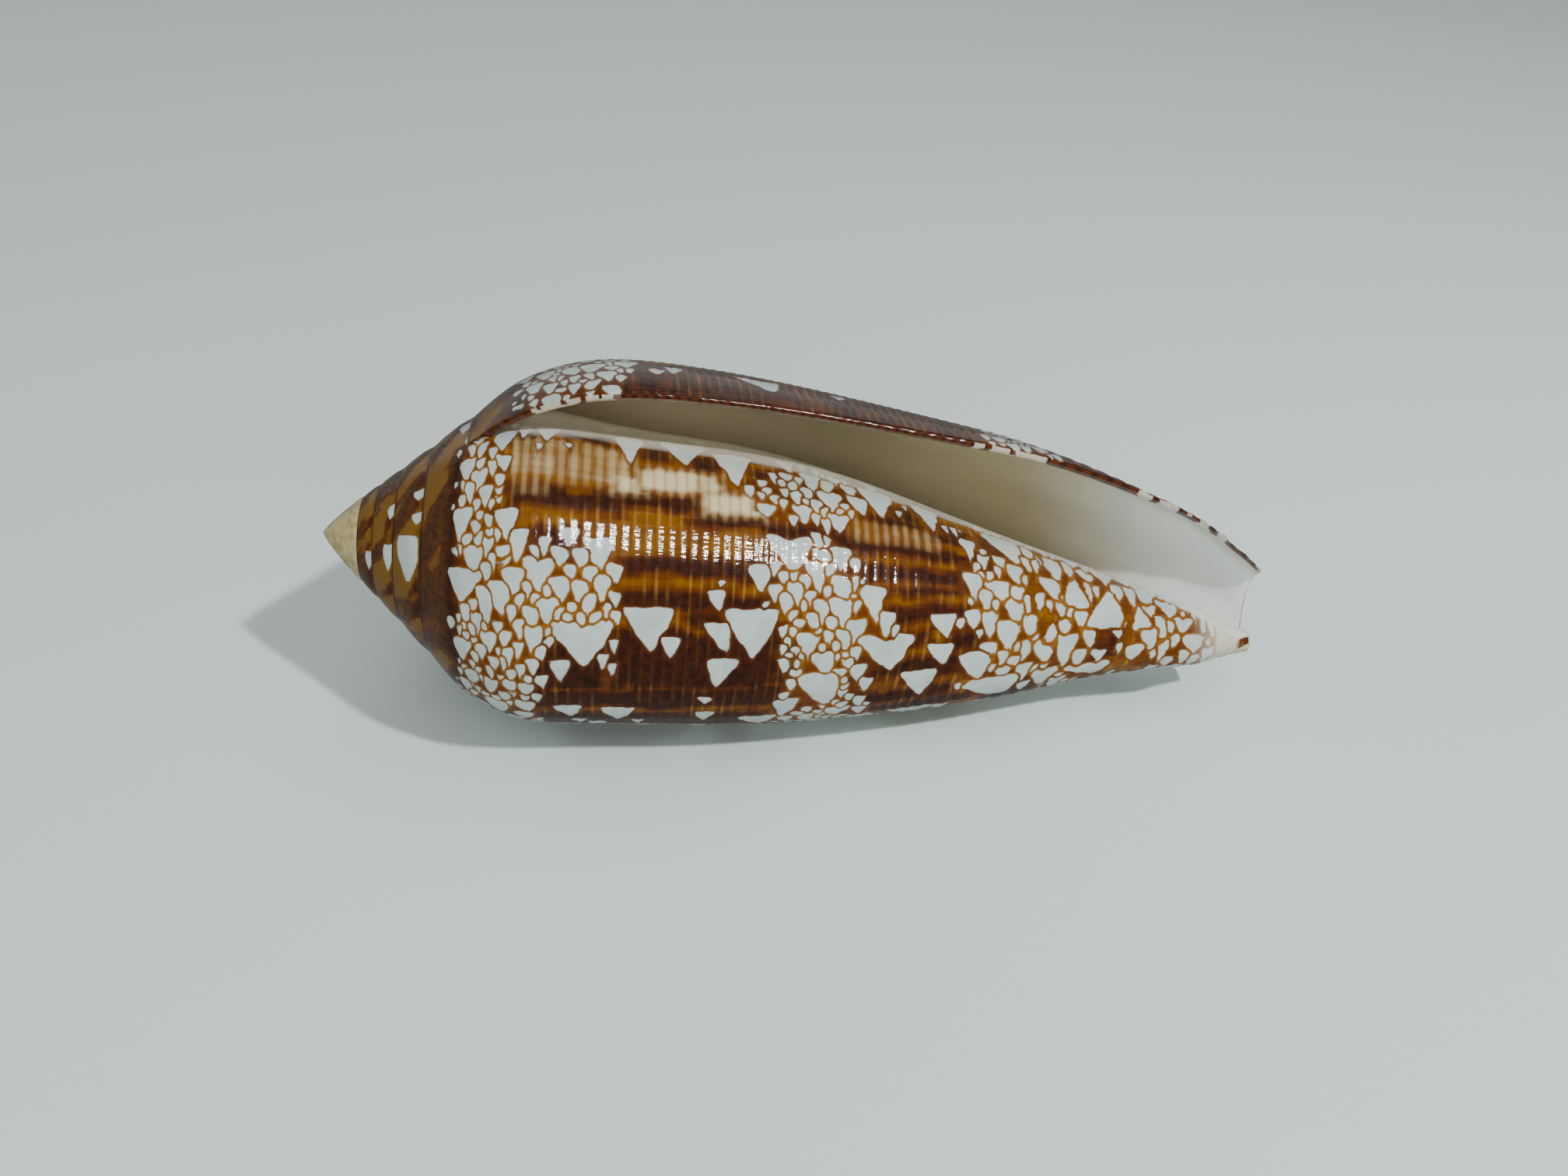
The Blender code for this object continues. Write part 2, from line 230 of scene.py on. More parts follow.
# ---------------------------------------------------------------- markings
# Tents that can be made out in the photograph: t at the left and right corner, theta of the flat side
# (degrees), theta of the point, and t of the point. A negative sixth value cuts a notch into the flat side.
TENTS = [
    (4.3, 4.85, -358, -352, 4.7), (4.7, 5.5, -362, -356, 5.1), (5.1, 5.85, -357, -350.5, 5.3), (6.3, 7.9, -361, -351.5, 7.1),
    (6.1, 6.7, -353, -348, 6.4), (3.6, 5.0, -350, -340.5, 4.4), (5.1, 5.75, -349, -343.5, 5.4), (6.1, 6.8, -346.5, -341, 6.5),
    (6.7, 7.7, -348.5, -341, 7.3), (4.9, 6.05, -343.5, -335.5, 5.4), (4.4, 5.2, -339, -331, 4.9), (5.6, 6.6, -336, -329.5, 6.1),
    (5.15, 5.65, -331, -327, 5.4), (3.35, 5.15, -328.5, -316.5, 4.2), (5.5, 5.95, -326.5, -323, 5.7), (6.8, 8.3, -327.5, -317.5, 7.7),
    (5.1, 5.8, -323, -319, 5.5), (5.4, 6.0, -319, -315, 5.7), (4.4, 5.2, -319, -313.5, 4.7), (6.2, 6.7, -325.5, -321, 6.5),
    (6.9, 7.4, -320.5, -317.3, 7.1), (6.1, 6.8, -317, -312, 6.4), (7.8, 8.95, -320.5, -311, 8.3), (4.5, 6.1, -314.5, -305.5, 5.4),
    (7.1, 7.8, -314.5, -308.5, 7.5), (6.6, 7.1, -312, -306.5, 6.85), (10.5, 11.4, -322, -315, 10.9), (11.4, 13.0, -319, -308.5, 12.4),
    (10.1, 10.9, -315, -309.5, 10.5), (11.1, 11.9, -315, -309, 11.5), (8.7, 10.15, -311, -300.5, 9.5, -0.3), (12.9, 14.3, -369, -351, 13.65),
    (8.0, 8.75, -364, -357, 8.35), (9.1, 10.1, -365, -356.5, 9.5), (9.0, 9.4, -355, -350.5, 9.2), (10.5, 10.85, -357.5, -354, 10.7),
    (15.3, 17.7, -371, -354, 16.6), (18.1, 20.25, -366, -345, 19.4), (20.6, 21.0, -351, -348, 20.8), (21.15, 21.6, -358, -352, 21.5),
    (22.7, 23.1, -358, -353, 22.9), (23.1, 24.2, -363, -351, 23.8), (24.25, 25.0, -361, -352, 24.5), (24.0, 25.25, -351.5, -340.5, 24.75),
    (25.4, 26.4, -362, -353.5, 26.0), (26.4, 28.6, -364, -342, 27.7), (25.75, 26.85, -353, -341, 26.5), (28.6, 29.0, -352, -346, 28.8),
    (22.4, 23.0, -348, -341, 22.7), (20.5, 21.4, -338, -332.5, 21.0), (22.5, 23.4, -340, -331.5, 23.1), (22.2, 22.6, -334, -329, 22.5),
    (20.6, 20.9, -344, -341.5, 20.75), (21.7, 22.1, -341.5, -338, 21.9), (24.5, 25.65, -338.5, -329, 25.1), (24.1, 24.4, -341, -336.5, 24.25),
    (24.1, 24.5, -335.5, -328.5, 24.4), (24.9, 25.3, -341.5, -339, 25.1), (20.8, 23.5, -325, -310.5, 22.5, -0.3), (24.5, 25.65, -322, -313, 25.1),
    (23.6, 24.5, -319.5, -313.5, 24.2), (21.1, 21.7, -313.5, -309.5, 21.4), (23.2, 24.2, -314.5, -304, 23.9), (29.1, 29.5, -360, -354, 29.3),
    (29.75, 31.4, -364, -342, 30.8), (31.4, 31.8, -351, -343, 31.6), (31.95, 32.4, -352, -341, 32.2), (32.5, 32.8, -351, -347, 32.6),
    (32.2, 33.35, -342, -326.5, 32.95), (33.7, 36.45, -358, -332, 36.0), (34.35, 35.1, -333, -324, 35.0), (35.1, 36.15, -329, -315, 35.9),
    (34.4, 34.8, -325, -319.5, 34.65), (36.6, 37.3, -356, -340, 37.0), (37.5, 37.95, -349, -339, 37.7), (36.35, 36.95, -340, -327, 36.75),
    (37.0, 37.5, -340, -329, 37.2), (37.65, 39.1, -350, -322, 38.7), (39.1, 39.9, -351, -331.5, 39.6), (38.95, 40.6, -304, -330, 39.8),
    (37.3, 38.75, -323, -306, 38.5), (40.1, 41.35, -346, -331, 40.9), (39.3, 40.8, -366, -349, 40.1), (40.55, 41.0, -329, -311, 40.8),
    (41.05, 41.5, -327, -317, 41.3), (32.35, 33.4, -317, -303, 33.1), (33.6, 35.25, -314, -301, 35.0), (3.15, 6.0, -306, -294, 4.4),
    (6.0, 6.75, -309, -303, 6.4), (7.2, 7.9, -311.5, -307.5, 7.5), (7.5, 8.75, -307.5, -298.5, 8.2), (6.45, 7.95, -302.5, -292.5, 7.5),
    (5.65, 6.95, -300.5, -288, 6.6), (10.05, 10.95, -304.5, -297.5, 10.6), (10.7, 11.25, -309, -304, 11.0), (11.05, 11.8, -304, -297, 11.5),
    (11.6, 12.2, -308.5, -303.5, 11.9), (12.1, 12.85, -305.5, -297.5, 12.5), (12.75, 13.45, -310, -302.5, 13.15), (11.6, 12.15, -299, -292.5, 11.9),
    (12.9, 13.5, -300.5, -295, 13.2), (8.25, 8.75, -299, -294.5, 8.5), (8.75, 9.1, -303, -298.5, 8.9), (9.4, 10.45, -297.5, -290, 10.0),
    (9.7, 10.0, -302, -298, 9.9), (8.8, 9.5, -295, -287.5, 9.3), (7.8, 8.4, -295, -290.5, 8.1), (5.15, 5.7, -295.5, -291, 5.45),
    (4.4, 5.2, -293, -286.5, 4.9), (5.25, 6.1, -291, -283.5, 5.8), (7.05, 7.55, -289, -285.5, 7.3), (8.3, 8.8, -290, -285, 8.55),
    (6.0, 7.1, -284.5, -278, 6.6), (8.85, 9.9, -288, -279, 9.3), (9.9, 10.3, -284, -280, 10.1), (10.75, 11.2, -293, -289.7, 11.0),
    (11.4, 11.8, -293, -288.7, 11.6), (10.3, 10.7, -295, -291, 10.5), (11.0, 11.4, -296.5, -293, 11.2), (12.6, 12.95, -296, -292, 12.8),
    (10.15, 13.2, -290, -272, 11.7, -0.35), (13.5, 16.15, -295.5, -278.5, 15.0), (15.55, 16.6, -284.5, -275.5, 16.05), (12.9, 13.4, -283.5, -277.5, 13.2),
    (12.4, 13.0, -278, -271.5, 12.6), (12.9, 13.4, -274, -268, 13.1), (8.3, 8.7, -282, -277, 8.5), (9.4, 9.95, -281, -275, 9.7),
    (7.5, 8.2, -279.5, -273.5, 7.9), (10.05, 11.05, -275.5, -265.5, 10.7), (9.0, 9.6, -276, -270, 9.3), (8.4, 8.85, -273.5, -268, 8.6),
    (9.4, 10.1, -269, -262, 9.7), (3.65, 5.1, -278.5, -268, 4.3), (5.2, 5.8, -275, -270.5, 5.5), (5.5, 6.4, -279, -273, 6.0),
    (6.6, 7.3, -275, -270, 6.9), (7.35, 7.8, -276, -271, 7.6), (4.5, 5.0, -282.5, -278.5, 4.8), (5.0, 5.7, -287, -282, 5.4),
    (6.3, 6.8, -270, -266, 6.6), (17.85, 18.85, -302.5, -295, 18.5), (18.4, 18.9, -306.5, -304, 18.6), (20.8, 21.2, -298.5, -295.5, 21.0),
    (18.7, 21.8, -295.5, -276, 20.6), (17.8, 19.1, -290.5, -278.5, 19.1), (18.0, 19.85, -276, -262.5, 18.7), (21.2, 21.85, -305, -299.5, 21.5),
    (21.7, 22.2, -310, -305.5, 22.0), (22.1, 23.05, -306, -298.5, 22.8), (22.9, 23.4, -309, -304.5, 23.2), (24.2, 24.65, -305, -300.5, 24.4),
    (23.2, 23.7, -303, -298, 23.5), (24.5, 25.7, -309, -298, 25.5), (25.3, 26.1, -309.5, -304.5, 25.9), (21.75, 22.5, -302, -294.5, 22.2),
    (23.0, 23.35, -299, -295.5, 23.2), (23.7, 24.45, -299, -291, 24.2), (24.4, 25.9, -300.5, -289, 25.4), (25.85, 26.25, -299, -295, 26.0),
    (26.15, 27.7, -306, -291, 27.2), (27.35, 28.35, -294.5, -284.5, 27.9), (22.3, 22.75, -295.5, -292, 22.5), (23.3, 23.95, -294.5, -287.5, 23.85),
    (24.4, 25.0, -292.5, -287, 24.8), (25.55, 26.6, -291, -282.5, 26.1), (21.8, 22.3, -289.5, -285, 22.1), (22.5, 22.9, -288.5, -284, 22.7),
    (22.7, 23.2, -291.5, -288, 22.95), (24.4, 24.85, -286.5, -281, 24.6), (23.0, 24.05, -285.5, -276, 23.6), (25.0, 25.9, -287, -278, 25.75),
    (22.2, 22.7, -284.5, -281.5, 22.5), (22.0, 22.4, -281.5, -278.5, 22.2), (22.7, 23.1, -280.5, -277, 22.9), (24.85, 25.25, -282, -277.5, 25.1),
    (24.2, 24.5, -281, -277.5, 24.35), (23.8, 25.1, -277, -266.5, 24.8), (21.95, 22.65, -275.5, -269.5, 22.4), (25.95, 26.5, -279, -273, 26.3),
    (25.6, 26.2, -274.5, -269.5, 25.95), (25.2, 25.9, -269, -263.5, 25.6), (26.1, 26.95, -270, -262, 26.65), (22.4, 22.8, -277.5, -274.5, 22.6),
    (23.2, 23.5, -277.5, -274, 23.35), (26.3, 29.6, -284, -265.5, 28.5, -0.5), (28.2, 28.6, -289, -283.5, 28.4), (22.0, 23.5, -253, -240.5, 22.8),
    (17.7, 18.8, -247, -238, 18.3), (17.7, 18.6, -257, -252.5, 18.2), (23.0, 25.6, -267, -246, 25.2), (26.7, 27.4, -250, -243, 27.1),
    (25.8, 26.4, -247, -240, 26.1), (30.3, 32.0, -294, -280.5, 31.5), (30.35, 31.95, -278, -265.5, 31.6), (33.35, 34.1, -308, -296.5, 33.8),
    (34.15, 34.6, -302, -295.5, 34.4), (32.4, 33.4, -296, -286.5, 33.1), (33.5, 34.5, -295, -281.5, 34.2), (34.9, 36.2, -303, -286.5, 35.9),
    (35.3, 36.2, -312, -300, 35.9), (34.45, 36.0, -289, -270, 35.6), (36.1, 37.05, -293, -277, 36.9), (33.65, 34.7, -276, -266, 34.5),
    (32.3, 34.5, -271, -252.5, 34.0), (34.95, 35.55, -270, -261, 35.3), (35.6, 36.3, -265, -257.5, 36.0), (36.95, 38.6, -275, -257, 38.1),
    (37.6, 38.6, -270, -288, 38.2), (38.65, 40.0, -278, -250, 39.4), (38.6, 39.4, -291, -278, 39.1), (38.3, 39.0, -304, -293, 38.8),
    (39.1, 39.5, -301, -292.5, 39.35), (39.6, 40.4, -298, -283, 40.2), (40.5, 43.2, -285, -326, 42.3), (40.15, 41.2, -283, -266, 41.0),
    (39.9, 40.8, -263, -247, 40.4), (29.1, 31.3, -264, -245, 30.6), (32.8, 36.7, -250, -228, 36.0), (35.0, 35.9, -258, -250, 35.6),
    (36.3, 37.2, -258, -243, 36.9), (43.9, 45.2, -283, -311, 44.3), (45.8, 47.6, -330, -297, 46.8), (44.7, 45.6, -315, -300, 45.2),
    (47.0, 48.5, -300, -276, 47.7), (46.2, 47.0, -295, -273, 46.8), (45.5, 46.4, -298, -262, 46.2), (44.4, 45.8, -282, -254, 45.4),
    (46.7, 47.5, -273, -257, 47.1), (42.3, 43.2, -283, -273, 42.9), (42.8, 43.4, -268, -253, 43.1), (41.4, 42.9, -358, -336, 42.1),
    (42.5, 43.3, -336, -318, 42.9), (43.4, 44.2, -340, -312, 43.9), (44.25, 46.0, -346, -313, 45.0), (47.7, 49.6, -272, -245, 48.7),
    (41.1, 42.3, -262, -248, 41.8), (43.6, 44.9, -262, -240, 44.3),
    (5.7, 7.6, -250, -237.5, 6.8), (12.5, 14.4, -250, -239, 13.5), (10.2, 11.7, -252, -243.5, 11.0), (4.6, 6.0, -241, -231.5, 5.5),
    (11.8, 12.8, -235, -228.5, 12.4), (9.6, 11.5, -229, -218, 10.8), (12.1, 13.2, -226, -219, 12.7), (8.8, 9.9, -223, -216.5, 9.3),
    (8.7, 9.4, -233, -228.5, 9.0), (14.3, 15.3, -228, -221.5, 15.0), (17.4, 18.5, -228, -221, 18.1), (15.6, 17.8, -221, -210, 16.9),
    (17.1, 19.7, -211, -203, 18.3), (14.2, 14.9, -238, -233, 14.5), (11.0, 11.8, -240, -233.5, 11.4), (4.0, 6.3, -223, -210, 5.5),
    (20.2, 22.4, -241, -229, 21.6), (25.3, 26.6, -243, -235, 25.9), (26.6, 28.4, -227, -216, 27.6), (29.0, 31.9, -231, -215, 30.9),
    (31.8, 32.9, -228, -217, 32.4), (31.0, 32.9, -212.5, -203.5, 32.4), (33.9, 35.8, -221, -210.5, 35.5), (33.3, 34.8, -213, -205, 34.4),
    (24.8, 25.8, -223, -217, 25.3), (25.8, 26.7, -232, -226.5, 26.2), (28.3, 29.0, -223, -217, 28.6), (36.2, 38.1, -204, -197, 37.2),
    (4.2, 5.2, -14, -7, 4.7), (5.3, 6.2, -10.5, -5, 5.7), (7.4, 8.8, -20, -13, 8.0), (9.3, 10.7, -22, -16, 10.0), (11.1, 12.1, -15.5, -11, 11.6),
    (12.1, 13.2, -19, -13, 12.6), (16.2, 18.9, -18, -8.5, 18.3), (22.0, 22.9, -17.5, -13, 22.4), (34.4, 35.7, -10, -3.5, 35.0), (31.6, 32.8, -9, -4, 32.1),
    (37.5, 39.6, -195, -187, 38.6), (37.5, 39.2, -249, -231, 38.4), (39.6, 42.6, -246, -229, 42.2), (40.9, 42.6, -214, -205, 41.9),
]

# Brown bands: where each starts and ends along t, at these theta.
BAND_AT = (-395, -366, -350, -335, -328, -318, -311, -300, -289, -280, -262, -240, -215, -180, -140, -100, -60, -30, -12, 0)
BAND_ONE_FROM = (7.8, 7.8, 7.5, 7.0, 6.5, 8.4, 13.1, 13.5, 13.3, 9.7, 8.9, 9.0, 10.5, 9.6, 11.0, 9.0, 10.2, 11.0, 9.6, 9.3)
BAND_ONE_TO = (22.5, 22.5, 20.4, 20.4, 24.0, 20.8, 21.0, 21.0, 21.8, 21.8, 22.3, 22.0, 23.5, 21.0, 22.5, 21.5, 22.8, 24.5, 26.5, 27.0)
BAND_TWO_FROM = (26.0, 26.0, 27.0, 25.7, 24.0, 25.7, 26.4, 27.8, 28.6, 29.4, 27.0, 27.5, 29.0, 28.0, 27.0, 28.5, 27.0, 25.5, 24.0, 23.0)
BAND_TWO_TO = (33.0, 33.0, 33.2, 33.4, 33.2, 32.2, 32.0, 32.3, 32.6, 33.6, 32.4, 34.0, 36.5, 35.0, 36.5, 34.0, 35.0, 34.0, 31.0, 30.3)
# Brown patches beyond the bands: t and theta ranges.
BROWN = [(42.9, 45.4, -246, -195), (41.2, 43.6, -284, -250), (36.6, 37.4, -326, -300), (37.0, 38.2, -300, -288), (35.0, 38.5, -232, -206), (43.2, 44.0, -300, -284), (36.0, 41.6, -26, 3)]
# where the lip's edge is brown
EDGE_BROWN = [(9.2, 30.3), (31.0, 31.5), (32.6, 33.0), (35.1, 41.6), (42.7, 43.3), (45.0, 45.9), (46.3, 47.1), (48.1, 49.0), (50.0, 53.2), (0.0, 4.6), (4.9, 5.2), (6.3, 6.6), (7.4, 7.7), (8.4, 8.6)]
# Dark streaks and patches along the growth lines: t range, theta range, depth.
DARK = [
    (10.3, 12.9, -367, -359, 0.95), (14.3, 15.5, -366, -355, 0.9), (17.1, 18.4, -362, -352, 0.95), (20.2, 22.8, -357, -344, 0.75),
    (25.0, 26.4, -356, -349, 0.8), (8.0, 9.0, -360, -354, 0.7), (23.2, 24.0, -353, -344, 0.6), (28.4, 29.8, -356, -345, 0.8), (31.4, 32.8, -350, -334, 0.7),
    (7.6, 13.2, -336.5, -328.8, 1.0), (13.0, 17.4, -338.5, -331.5, 0.95), (16.9, 21.0, -332, -326.3, 1.0), (20.6, 24.6, -331, -325.5, 0.8),
    (24.4, 33.6, -329, -322, 1.0), (26.6, 30.0, -345.5, -339, 0.85), (30.0, 32.2, -341, -334, 0.7), (33.0, 34.0, -335, -322, 0.6),
    (13.1, 21.0, -313.5, -307, 1.0), (9.2, 11.2, -321, -312, 0.6), (25.4, 32.4, -316.5, -309, 0.9), (28.0, 32.0, -307, -303.5, 0.5),
    (13.4, 21.2, -300.8, -295, 1.0), (17.0, 18.6, -296, -288, 0.5), (27.6, 33.0, -298, -290, 1.0), (28.6, 30.6, -286, -279, 0.5),
    (13.0, 22.0, -288, -262, 0.95), (9.6, 13.0, -282, -262, 0.9), (31.6, 33.6, -286, -276, 0.95), (29.2, 34.0, -272, -257, 0.85),
    (26.6, 30.0, -271, -261, 0.85), (9.0, 22.4, -262, -250, 0.55), (9.0, 22.0, -246, -232, 0.75), (26.4, 32.5, -253, -243, 0.85), (28.0, 34.0, -242, -232, 0.6),
    (10.0, 23.5, -226, -203, 0.9), (35.0, 38.0, -246, -208, 0.7), (41.4, 42.8, -284, -252, 0.45), (22.0, 23.0, -283, -262, 0.5), (34.0, 35.0, -350, -335, 0.5),
]
# Pale gold patches.
GOLD = [(14.0, 17.5, -350, -340.5, 1.0), (17.5, 20.8, -341.8, -331.8, 0.95), (17.3, 18.4, -350, -341, 0.5), (7.9, 13.2, -357, -340, 0.37), (11.4, 13.6, -353, -347, 0.36), (26.2, 30.5, -338, -329.5, 0.30), (12.9, 14.2, -345, -338, 0.7), (8.3, 9.4, -341, -334, 0.3)]
# White tents of the older whorls that show on the spire.
SPIRE_TENTS = [(0.9, 3.75, -677, -649, 2.6), (2.9, 4.3, -690, -683, 3.6), (2.8, 4.2, -704, -697, 3.6), (2.6, 4.2, -1030, -1010, 3.4), (3.0, 4.2, -1060, -1048, 3.6), (2.7, 4.2, -1380, -1360, 3.4)]


def band_mask(t, deg):
    """1 inside a brown band, 0 in the netted zones."""
    wave = (value_noise(t * 0.55, deg * 0.09, 11) - 0.5) * 1.3
    fine = (value_noise(t * 1.6, deg * 0.23, 12) - 0.5) * 0.7
    tt = t + wave + fine
    edges = [np.interp(deg, BAND_AT, e) for e in (BAND_ONE_FROM, BAND_ONE_TO, BAND_TWO_FROM, BAND_TWO_TO)]
    soft = 0.25
    one = step(tt, edges[0] - soft, edges[0] + soft) * (1 - step(tt, edges[1] - soft, edges[1] + soft))
    two = step(tt, edges[2] - soft, edges[2] + soft) * (1 - step(tt, edges[3] - soft, edges[3] + soft))
    mask = np.maximum(one, two)
    for t0, t1, a0, a1 in BROWN:
        mask = np.maximum(mask, step(tt, t0 - 0.2, t0 + 0.3) * (1 - step(tt, t1 - 0.3, t1 + 0.2)) * step(deg, a0 - 2, a0 + 2) * (1 - step(deg, a1 - 2, a1 + 2)))
    # far side: brown islands in the front zone
    away = step(deg, -200, -185)
    island = step(value_noise(t * 0.28 + 3, deg * 0.030, 21), 0.62, 0.70) * step(t, 35, 37) * (1 - step(t, 47, 49))
    return np.maximum(mask, away * island)


def patches(t, deg, rows):
    """How far inside the nearest patch a point lies, in mm (negative outside), less for faint patches."""
    out = np.full(np.broadcast(t, deg).shape, -1.5)
    jig = (value_noise(t * 1.1, deg * 0.25, 31) - 0.5) * 0.5
    jog = (value_noise(t * 0.45, deg * 0.12, 32) - 0.5) * 3.4 + (value_noise(t * 1.7, deg * 0.2, 33) - 0.5) * 1.4
    tt, aa = t + jig, deg + jog
    per_degree = np.interp(t, (4, 20, 34, 44, 54), (0.20, 0.19, 0.14, 0.09, 0.05))
    for t0, t1, a0, a1, depth in rows:
        near = np.minimum(np.minimum(tt - t0, t1 - tt), np.minimum(aa - a0, a1 - aa) * per_degree)
        out = np.maximum(out, np.minimum(near, 2.2 * depth - 0.8))
    return np.clip(out, -1.5, 1.5)


def dark_field(t, deg):
    seen = patches(t, deg, DARK)
    # elsewhere: streaks of the same kind, by chance
    streak = value_noise(t * 0.10 + 5, deg * 0.115, 41) * 0.62 + value_noise(t * 0.30, deg * 0.31, 42) * 0.38
    chance = np.clip((streak - 0.52) * 9.0, -1.2, 0.9)
    away = np.maximum(step(deg, -206, -198), 1 - step(deg, -420, -410))
    near_lip = step(deg, -30, -10)
    chance = chance * (1 - near_lip) + 0.25 * near_lip
    return seen * (1 - away) + chance * away


def gold_field(t, deg):
    seen = patches(t, deg, GOLD)
    chance = np.clip((value_noise(t * 0.26 + 9, deg * 0.07, 51) - 0.86) * 6.0, -1.5, 0.1) - 0.5 * step(deg, -40, -20) - step(t, 33.0, 36.0)
    away = step(deg, -206, -198)
    return seen * (1 - away) + chance * away


class Tents:
    """All tents, with the radius of the shell at each, and one of nine classes so that neighbours differ."""

    CLASSES = 9

    def __init__(self):
        self.rows = []
        for tent in TENTS + SPIRE_TENTS:
            large = (tent[1] - tent[0]) * abs(tent[3] - tent[2]) > 16
            flat = 0.40 if tent[2] < -600 else 0.05 if large else 0.16
            self.rows.append(tuple(tent) + ((0.0,) if len(tent) == 5 else ()) + (flat,))
        self.scatter()
        self.arrays()
        self.paint_classes()

    def radius(self, t, deg):
        return profile(np.atleast_1d(float(t)), np.atleast_1d(math.radians(deg)))[1][0]

    def scatter(self):
        rng = np.random.default_rng(20)
        t_grid = np.linspace(3.0, T_END, 120)
        deg_grid = np.linspace(-395.0, 0.0, 160)
        tt, dd = np.meshgrid(t_grid, deg_grid)
        radius = profile(tt, np.radians(dd))[1]

        def local_radius(t, deg):
            i = (deg + 395.0) / 395.0 * 159
            j = (t - 3.0) / (T_END - 3.0) * 119
            i, j = np.clip(i, 0, 159), np.clip(j, 0, 119)
            return radius[np.round(i).astype(int), np.round(j).astype(int)]

        n0 = len(self.rows)
        ct = [0.5 * (r[0] + r[1]) for r in self.rows]
        cd = [0.5 * (r[2] + r[3]) for r in self.rows]
        ha = [0.5 * (r[1] - r[0]) for r in self.rows]
        hh = [0.5 * abs(r[3] - r[2]) * math.pi / 180 * float(local_radius(np.array(c), np.array(d))) for r, c, d in zip(self.rows, ct, cd)]
        ct, cd, ha, hh = [list(map(float, x)) for x in (ct, cd, ha, hh)]
        passes = (
            ("big", 2600, 0.22), ("middle", 5200, 0.12), ("small", 15000, 0.05), ("tiny", 15000, 0.04),
        )
        for kind, tries, gap in passes:
            t = rng.uniform(3.4, T_END - 1.0, tries)
            deg = rng.uniform(-392.0, -0.5, tries)
            size = rng.uniform(0.0, 1.0, tries)
            lean = rng.normal(0.0, 1.0, tries)
            keep = rng.uniform(0.0, 1.0, tries)
            keep2 = rng.uniform(0.0, 1.0, tries)
            flat = rng.uniform(0.08, 0.42, tries)
            band = band_mask(t, deg)
            rad = local_radius(t, deg)
            seen = (deg > -368) & (deg < -204)
            for k in range(tries):
                if keep[k] > rad[k] / 12.5:
                    continue
                r, front = float(rad[k]), t[k] > 34.0
                s = size[k]
                if band[k] > 0.5:
                    if seen[k] or deg[k] > -42:
                        continue
                    if kind == "big":
                        if keep2[k] > 0.16:
                            continue
                        a, h = 0.75 + 0.85 * s, 0.95 + 1.0 * s
                    elif kind == "middle":
                        if keep2[k] > 0.05:
                            continue
                        a, h = 0.32 + 0.3 * s, 0.42 + 0.4 * s
                    else:
                        continue
                elif kind == "big":
                    if seen[k] or keep2[k] > 0.30:
                        continue
                    a, h = (0.6 + 0.5 * s, 1.1 + 0.9 * s) if front else (0.65 + 0.55 * s, 0.75 + 0.6 * s)
                elif kind == "middle":
                    a, h = (0.38 + 0.22 * s, 0.8 + 0.6 * s) if front else (0.36 + 0.2 * s, 0.46 + 0.25 * s)
                elif kind == "small":
                    a, h = (0.26 + 0.1 * s, 0.5 + 0.3 * s) if front else (0.23 + 0.1 * s, 0.3 + 0.14 * s)
                else:
                    a, h = 0.15 + 0.06 * s, 0.2 + 0.1 * s
                dt = (np.array(ct) - t[k]) / (np.array(ha) * 0.93 + a + gap)
                da = (np.array(cd) - deg[k]) * (math.pi / 180 * r) / (np.array(hh) * 0.93 + h + gap)
                if np.min(dt * dt + da * da) < 1.0:
                    continue
                ct.append(float(t[k]))
                cd.append(float(deg[k]))
                ha.append(a)
                hh.append(h)
                half = h / r * 180 / math.pi
                self.rows.append((t[k] - a, t[k] + a, deg[k] - half, deg[k] + half, t[k] + 0.25 * a * lean[k] + 0.1 * a, 0.0, float(flat[k])))
        self.counted = (n0, len(self.rows))

    def arrays(self):
        rows = np.array(self.rows, float)
        self.t0, self.t1, self.top, self.tip, self.tt, self.notch, self.flat = rows.T
        self.mid = 0.5 * (self.t0 + self.t1)
        self.rad = profile(self.mid, np.radians(0.5 * (self.top + self.tip)))[1]
        self.high = np.abs(self.tip - self.top) * math.pi / 180 * self.rad
        self.sign = np.where(self.tip > self.top, 1.0, -1.0)
        self.half = 0.5 * (self.t1 - self.t0)

    def paint_classes(self):
        n = len(self.mid)
        self.cls = np.zeros(n, int)
        centre = 0.5 * (self.top + self.tip)
        order = np.argsort(self.mid)
        done = np.zeros(n, bool)
        for i in order:
            dt = np.abs(self.mid - self.mid[i]) - self.half - self.half[i]
            da = np.abs(centre - centre[i]) * math.pi / 180 * self.rad[i] - 0.5 * (self.high + self.high[i])
            gap = np.maximum(dt, da)
            near = done & (gap < 0.75)
            free = [c for c in range(self.CLASSES) if not np.any(self.cls[near] == c)]
            if free:
                self.cls[i] = free[int(i) % len(free)]
            else:
                best = [np.min(gap[near & (self.cls == c)]) for c in range(self.CLASSES)]
                self.cls[i] = int(np.argmax(best))
            done[i] = True

    def gauge(self, i, t, deg):
        """Signed distance in mm from tent i, negative inside."""
        a, high, rad = self.half[i], self.high[i], self.rad[i]
        y = (deg - self.top[i]) * math.pi / 180 * rad * self.sign[i]
        f = np.clip(y / high, -0.2, 1.2)
        x = t - self.mid[i] - (self.tt[i] - self.mid[i]) * f
        wide = self.flat[i] * high
        ax = np.sqrt(x * x + (0.10 * a) ** 2)
        side = (ax * (high - wide) + (y - wide) * a - a * (high - wide)) / math.hypot(high - wide, a)
        top = -y
        if self.notch[i] < 0:
            top = top - self.notch[i] * np.exp(-((x / (0.3 * a)) ** 2))
        cap = ax - a
        k = 0.085 * min(a, 0.5 * high) + 0.018
        m = np.maximum(np.maximum(top, side), cap)
        g = m + k * np.log(np.exp((top - m) / k) + np.exp((side - m) / k) + np.exp((cap - m) / k))
        return g - 0.55 * k

